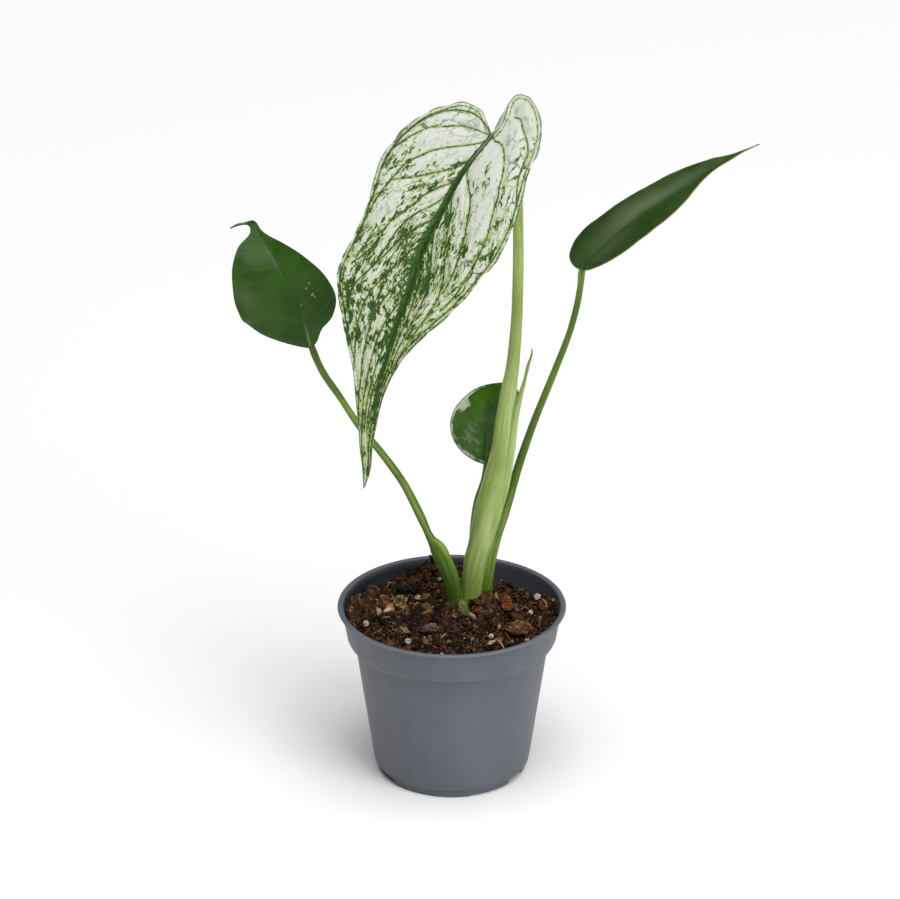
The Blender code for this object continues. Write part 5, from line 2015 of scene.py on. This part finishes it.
        Stalk(
            "left_leaf_stalk", "stalk_left", Slot.GREEN_STALK,
            [
                (2.2, 6.6, foot, 4.0, 2.6), (1.0, 6.5, 98, 4.4, 2.8), (-0.8, 6.5, 107, 4.4, 2.8),
                (-4.4, 7.0, 116, 4.5, 2.7), (-7.8, 7.0, 124, 4.0, 2.5), (-10.4, 7.0, 128, 2.5, 2.3),
                (-16.3, 6.5, 142, 2.2, 2.2), (-25.0, 6.0, 161, 2.1, 2.1), (-36.7, 4.0, 180, 1.9, 1.9),
                (-47.4, 2.5, 195, 1.8, 1.8), (-57.8, 1.0, 213, 1.7, 1.7), (-67.0, -0.5, 229, 1.7, 1.7),
                *ends[1][0],
            ],
            up, ends[1][1], rings=210, sides=48, rib_count=9,
            crease=[(86, 290), (100, 296), (112, 300), (122, 308), (129, 300)], crease_height=0.2,
            dry_spots=((106, 282, 12, 9, 0.8), (128, 300, 4, 60, 0.25)),
            # Painted highlight up its front, painted shade on its left side and at its foot, and a real
            # pale spot by the sheath.
            pale_and_painted_light_spots=(
                (124, 318, 7, 22, 0.24), (175, 285, 50, 45, 0.3), (98, 255, 14, 60, -0.12),
                (150, 200, 60, 40, -0.1),
            ),
            pale_base=0.34,
        ).build(green)
        Stalk(
            "right_leaf_stalk", "stalk_right", Slot.GREEN_STALK,
            [
                (17.2, 15.0, foot, 4.2, 3.2), (17.9, 15.8, 102, 4.1, 3.2), (19.7, 17.2, 112, 3.7, 3.0),
                (22.8, 19.4, 123, 3.2, 2.8), (28.2, 21.0, 139, 2.6, 2.5), (35.8, 20.0, 168, 2.2, 2.2),
                (43.2, 18.5, 192, 2.0, 2.0), (53.0, 16.5, 220, 1.8, 1.8), (61.6, 14.0, 247, 1.7, 1.7),
                (64.4, 13.1, 260, 1.7, 1.7), (65.8, 12.7, 270, 1.7, 1.7), *ends[2][0],
            ],
            up, ends[2][1], rings=220, sides=44, rib_count=9,
            # Lighter low on its front and on its left side higher up: partly painted highlight.
            pale_and_painted_light_spots=((112, 270, 28, 90, 0.26), (250, 200, 60, 60, 0.1)),
        ).build(green)
        Stalk(
            "small_leaf_stalk", "stalk_small", Slot.GREEN_STALK,
            [
                (10.2, 20.2, foot, 1.6, 1.4), (10.4, 20.8, 110, 1.5, 1.3), (10.9, 21.4, 128, 1.4, 1.2),
                (13.0, 22.4, 144, 1.3, 1.1), (16.4, 23.6, 155, 1.2, 1.1), *ends[3][0],
            ],
            up, ends[3][1], rings=120, sides=32, rib_height=0.03,
        ).build(green)
        Stalk(
            "rolled_new_leaf", "new_leaf_spear", Slot.PALE_STALK,
            [
                (11.6, 13.2, foot, 3.0, 3.2), (12.4, 13.4, 100, 3.2, 3.2), (13.9, 13.6, 110, 3.4, 3.3),
                (17.0, 13.8, 125, 3.8, 3.3), (21.4, 13.6, 140, 4.2, 3.2), (24.9, 13.0, 151, 3.9, 2.9),
                (27.2, 12.5, 160, 3.4, 2.6), (29.2, 11.8, 170, 2.8, 2.3), (30.5, 11.4, 178.5, 2.5, 2.1),
                (31.9, 11.4, 190.5, 2.1, 1.9), (33.6, 11.6, 201.5, 1.8, 1.7), (35.2, 11.9, 208, 1.4, 1.4),
                (37.4, 12.4, 216, 1.0, 1.0), (39.6, 13.0, 226, 0.75, 0.75), (41.1, 13.2, 231, 0.5, 0.5),
                (41.2, 13.3, 234.5, 0.22, 0.22),
            ],
            up, rings=220, sides=40, rib_height=0.05,
            crease=[(196, 262), (208, 280), (222, 300)], crease_height=0.15,
            dry_spots=((234, 270, 6, 400, 0.8),),
            # Lighter on its right front and darker near the tip: partly pale streak, partly painted
            # highlight and painted shade.
            pale_and_painted_light_spots=((178, 310, 26, 90, 0.26), (222, 260, 12, 80, -0.14)),
            pale_base=0.47,
        ).build(pale)
        husk = StalkSkin(
            "torn_sheath_skin", "#4A5229", "#66753F", "#86955C", "#B0B688", roughness=0.6
        ).material()
        Stalk(
            "torn_old_sheath", "old_sheath", Slot.SHEATH,
            [(4.9, 3.0, 95.2, 0.8, 0.5), (5.1, 2.4, 94.0, 1.5, 0.5), (5.5, 1.4, 92.9, 2.3, 0.45),
             (6.5, 0.4, 92.0, 2.1, 0.4), (6.2, -0.8, 91.3, 2.8, 0.35), (7.6, -2.0, 90.9, 1.7, 0.35),
             (7.2, -3.0, 90.5, 2.1, 0.3), (8.5, -4.2, 90.1, 1.0, 0.25), (9.0, -5.2, 89.9, 0.3, 0.2)],
            rings=110, sides=36, rib_height=0.16, pale_base=0.5,
            dry_spots=((90.2, 270, 0.9, 400, 0.8), (92.5, 320, 1.2, 40, 0.5)),
        ).build(husk)

    def build(self) -> None:
        """Build all of the plant, and dress the buried crown."""
        pairs = self.blades()
        for blade, skin in pairs:
            blade.build(skin)
        self.stalks([blade for blade, _ in pairs])
        crown = StalkSkin("buried_stem_skin", "#3F4A20", "#5C6A30", "#788646", "#A3A870", roughness=0.6)
        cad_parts["plant_stem"].data.materials.clear()
        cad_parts["plant_stem"].data.materials.append(crown.material())
        LOG.info("plant_stem: carried over with buried_stem_skin")


@dataclass
class GroundLitter:
    """Bark, wood, perlite and twigs strewn on the soil."""

    barks: tuple[str, ...] = (
        "bark_chip_large", "bark_chip_right", "bark_chip_front_left",
        "bark_chip_by_stalk", "bark_chip_left",
    )
    grains: tuple[str, ...] = (
        "perlite_right", "perlite_right_edge", "perlite_back_left", "perlite_back", "perlite_left",
        "perlite_front_left", "perlite_far_left", "perlite_front",
    )
    twigs: tuple[str, ...] = ("twig_left", "twig_front", "twig_right")

    def build(self) -> None:
        """Build every loose piece from its CAD node."""
        bark, wood = BrokenBark().material(), DryWood().material()
        own = {
            "bark_chip_right": BrokenBark("red_bark", "#3A180C", "#7E3F22", "#A9673C").material(),
            "bark_chip_front_left": BrokenBark("grey_bark", "#251A18", "#55433F", "#84706A").material(),
        }
        pale = DryWood("pale_wood", "#9A7F5A", "#DCC8A0").material()
        perlite = ExpandedPerlite().material()
        for seed, node in enumerate(self.barks):
            piece = LoosePiece(node, f"{node}_broken", Slot.BARK, 4, 1.3, 1.9)
            piece.build(own.get(node, bark), seed)
        LoosePiece("wood_chip_pale", "wood_chip_split", Slot.TWIG, 4, 0.3, 1.6).build(pale, 12)
        for seed, node in enumerate(self.grains):
            LoosePiece(node, f"{node}_grain", Slot.PERLITE, 3, 1.0, 1.1).build(perlite, 20 + seed)
        for seed, node in enumerate(self.twigs):
            LoosePiece(node, f"{node}_stick", Slot.TWIG, 2, 0.12, 1.0).build(wood, 40 + seed)


# ---- studio


class Lamp(Enum):
    """Kinds of light that the studio has."""

    SOFTBOX = "AREA"
    GLOW = "SUN"


@dataclass
class Studio:
    """White paper sweep, soft white light and the camera."""

    camera_at: Triple = (-0.945, -2235.386, 1213.398)
    camera_down: float = 65.2593  # degrees from looking straight down
    lens: float = 190.5
    sensor: float = 36.0
    floor_size: float = 40000.0
    sky: float = 0.13  # strength of the white all round
    plant_middle: float = 170.0  # height that the lights face
    lights: tuple[tuple[str, Lamp, Triple, float, float], ...] = (
        ("key_softbox", Lamp.SOFTBOX, (1350, -1600, 1650), 1500, 28.0),  # place, side in mm, watts
        ("ceiling_glow", Lamp.GLOW, (100, -400, 2000), 56, 2.42),  # place, spread in degrees, strength
    )

    def build(self) -> None:
        """Build the floor, the lights, the white surroundings and the camera."""
        half = self.floor_size / 2
        corners = half * np.array([(-1, -1, 0), (1, -1, 0), (1, 1, 0), (-1, 1, 0)], float)
        paper = PaperSweep().material()
        floor = make_piece("paper_floor", corners, [np.arange(4)[None]], paper, weld=False)
        scene = bpy.context.scene
        world = bpy.data.worlds.new("white_room")
        world.use_nodes = True
        glow = world.node_tree.nodes["Background"].inputs
        glow["Color"].default_value = (1.0, 1.0, 1.0, 1.0)
        glow["Strength"].default_value = self.sky
        scene.world = world
        for light in self.lights:
            self.lamp(*light)
        scene.view_settings.view_transform = "Standard"
        eye = bpy.data.cameras.new("product_camera")
        eye.lens = self.lens
        eye.sensor_width = self.sensor
        eye.clip_start, eye.clip_end = 0.1, 30.0
        camera = bpy.data.objects.new("product_camera", eye)
        camera.location = [part * MM for part in self.camera_at]
        camera.rotation_euler = (math.radians(self.camera_down), 0.0, 0.0)
        scene.collection.objects.link(camera)
        scene.camera = camera

    def lamp(self, name: str, kind: Lamp, spot: tuple, size: float, power: float) -> None:
        """Hang one soft light that faces the middle of the plant.

        Args:
            name: Its name.
            kind: A square softbox, or an even glow from far off.
            spot: Where it hangs, in millimetres.
            size: Side of a softbox in millimetres, or the glow's spread in degrees.
            power: Watts of a softbox, or watts a square metre of the glow.
        """
        light = bpy.data.lights.new(name, kind.value)
        if kind is Lamp.GLOW:
            light.angle = math.radians(size)
        else:
            light.size = size * MM
        light.energy = power
        lamp = bpy.data.objects.new(name, light)
        away = np.asarray(spot, float) - np.array([0.0, 0.0, self.plant_middle])
        flat = math.hypot(away[0], away[1])
        lamp.rotation_euler = (math.atan2(flat, away[2]), 0.0, math.atan2(away[0], -away[1]))
        lamp.location = [part * MM for part in spot]
        bpy.context.scene.collection.objects.link(lamp)


def write_sizes() -> None:
    """Bring the view layer up to date."""
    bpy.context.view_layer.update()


def main() -> None:
    """Build the pot, its soil, the plant and the studio in order."""
    logging.basicConfig(level=logging.INFO, format="%(name)s %(message)s")
    Studio().build()
    pot = NurseryPot()
    pot.build(MouldedPolypropylene().material())
    soil = PottingSoil(pot)
    peat = DampPeat().material()
    soil.build(peat)
    soil.scatter_crumbs("peat_lumps", soil.lumps, 2, [(0.5, 1.9), (2.2, 0.5)], peat)
    soil.scatter_crumbs("peat_flakes", soil.flakes, 1, [(0.2, 0.55), (1.8, 0.75)], peat)
    soil.scatter_fibres(peat)
    GroundLitter().build()
    Monstera().build()
    write_sizes()


if __name__ == "__main__":
    main()
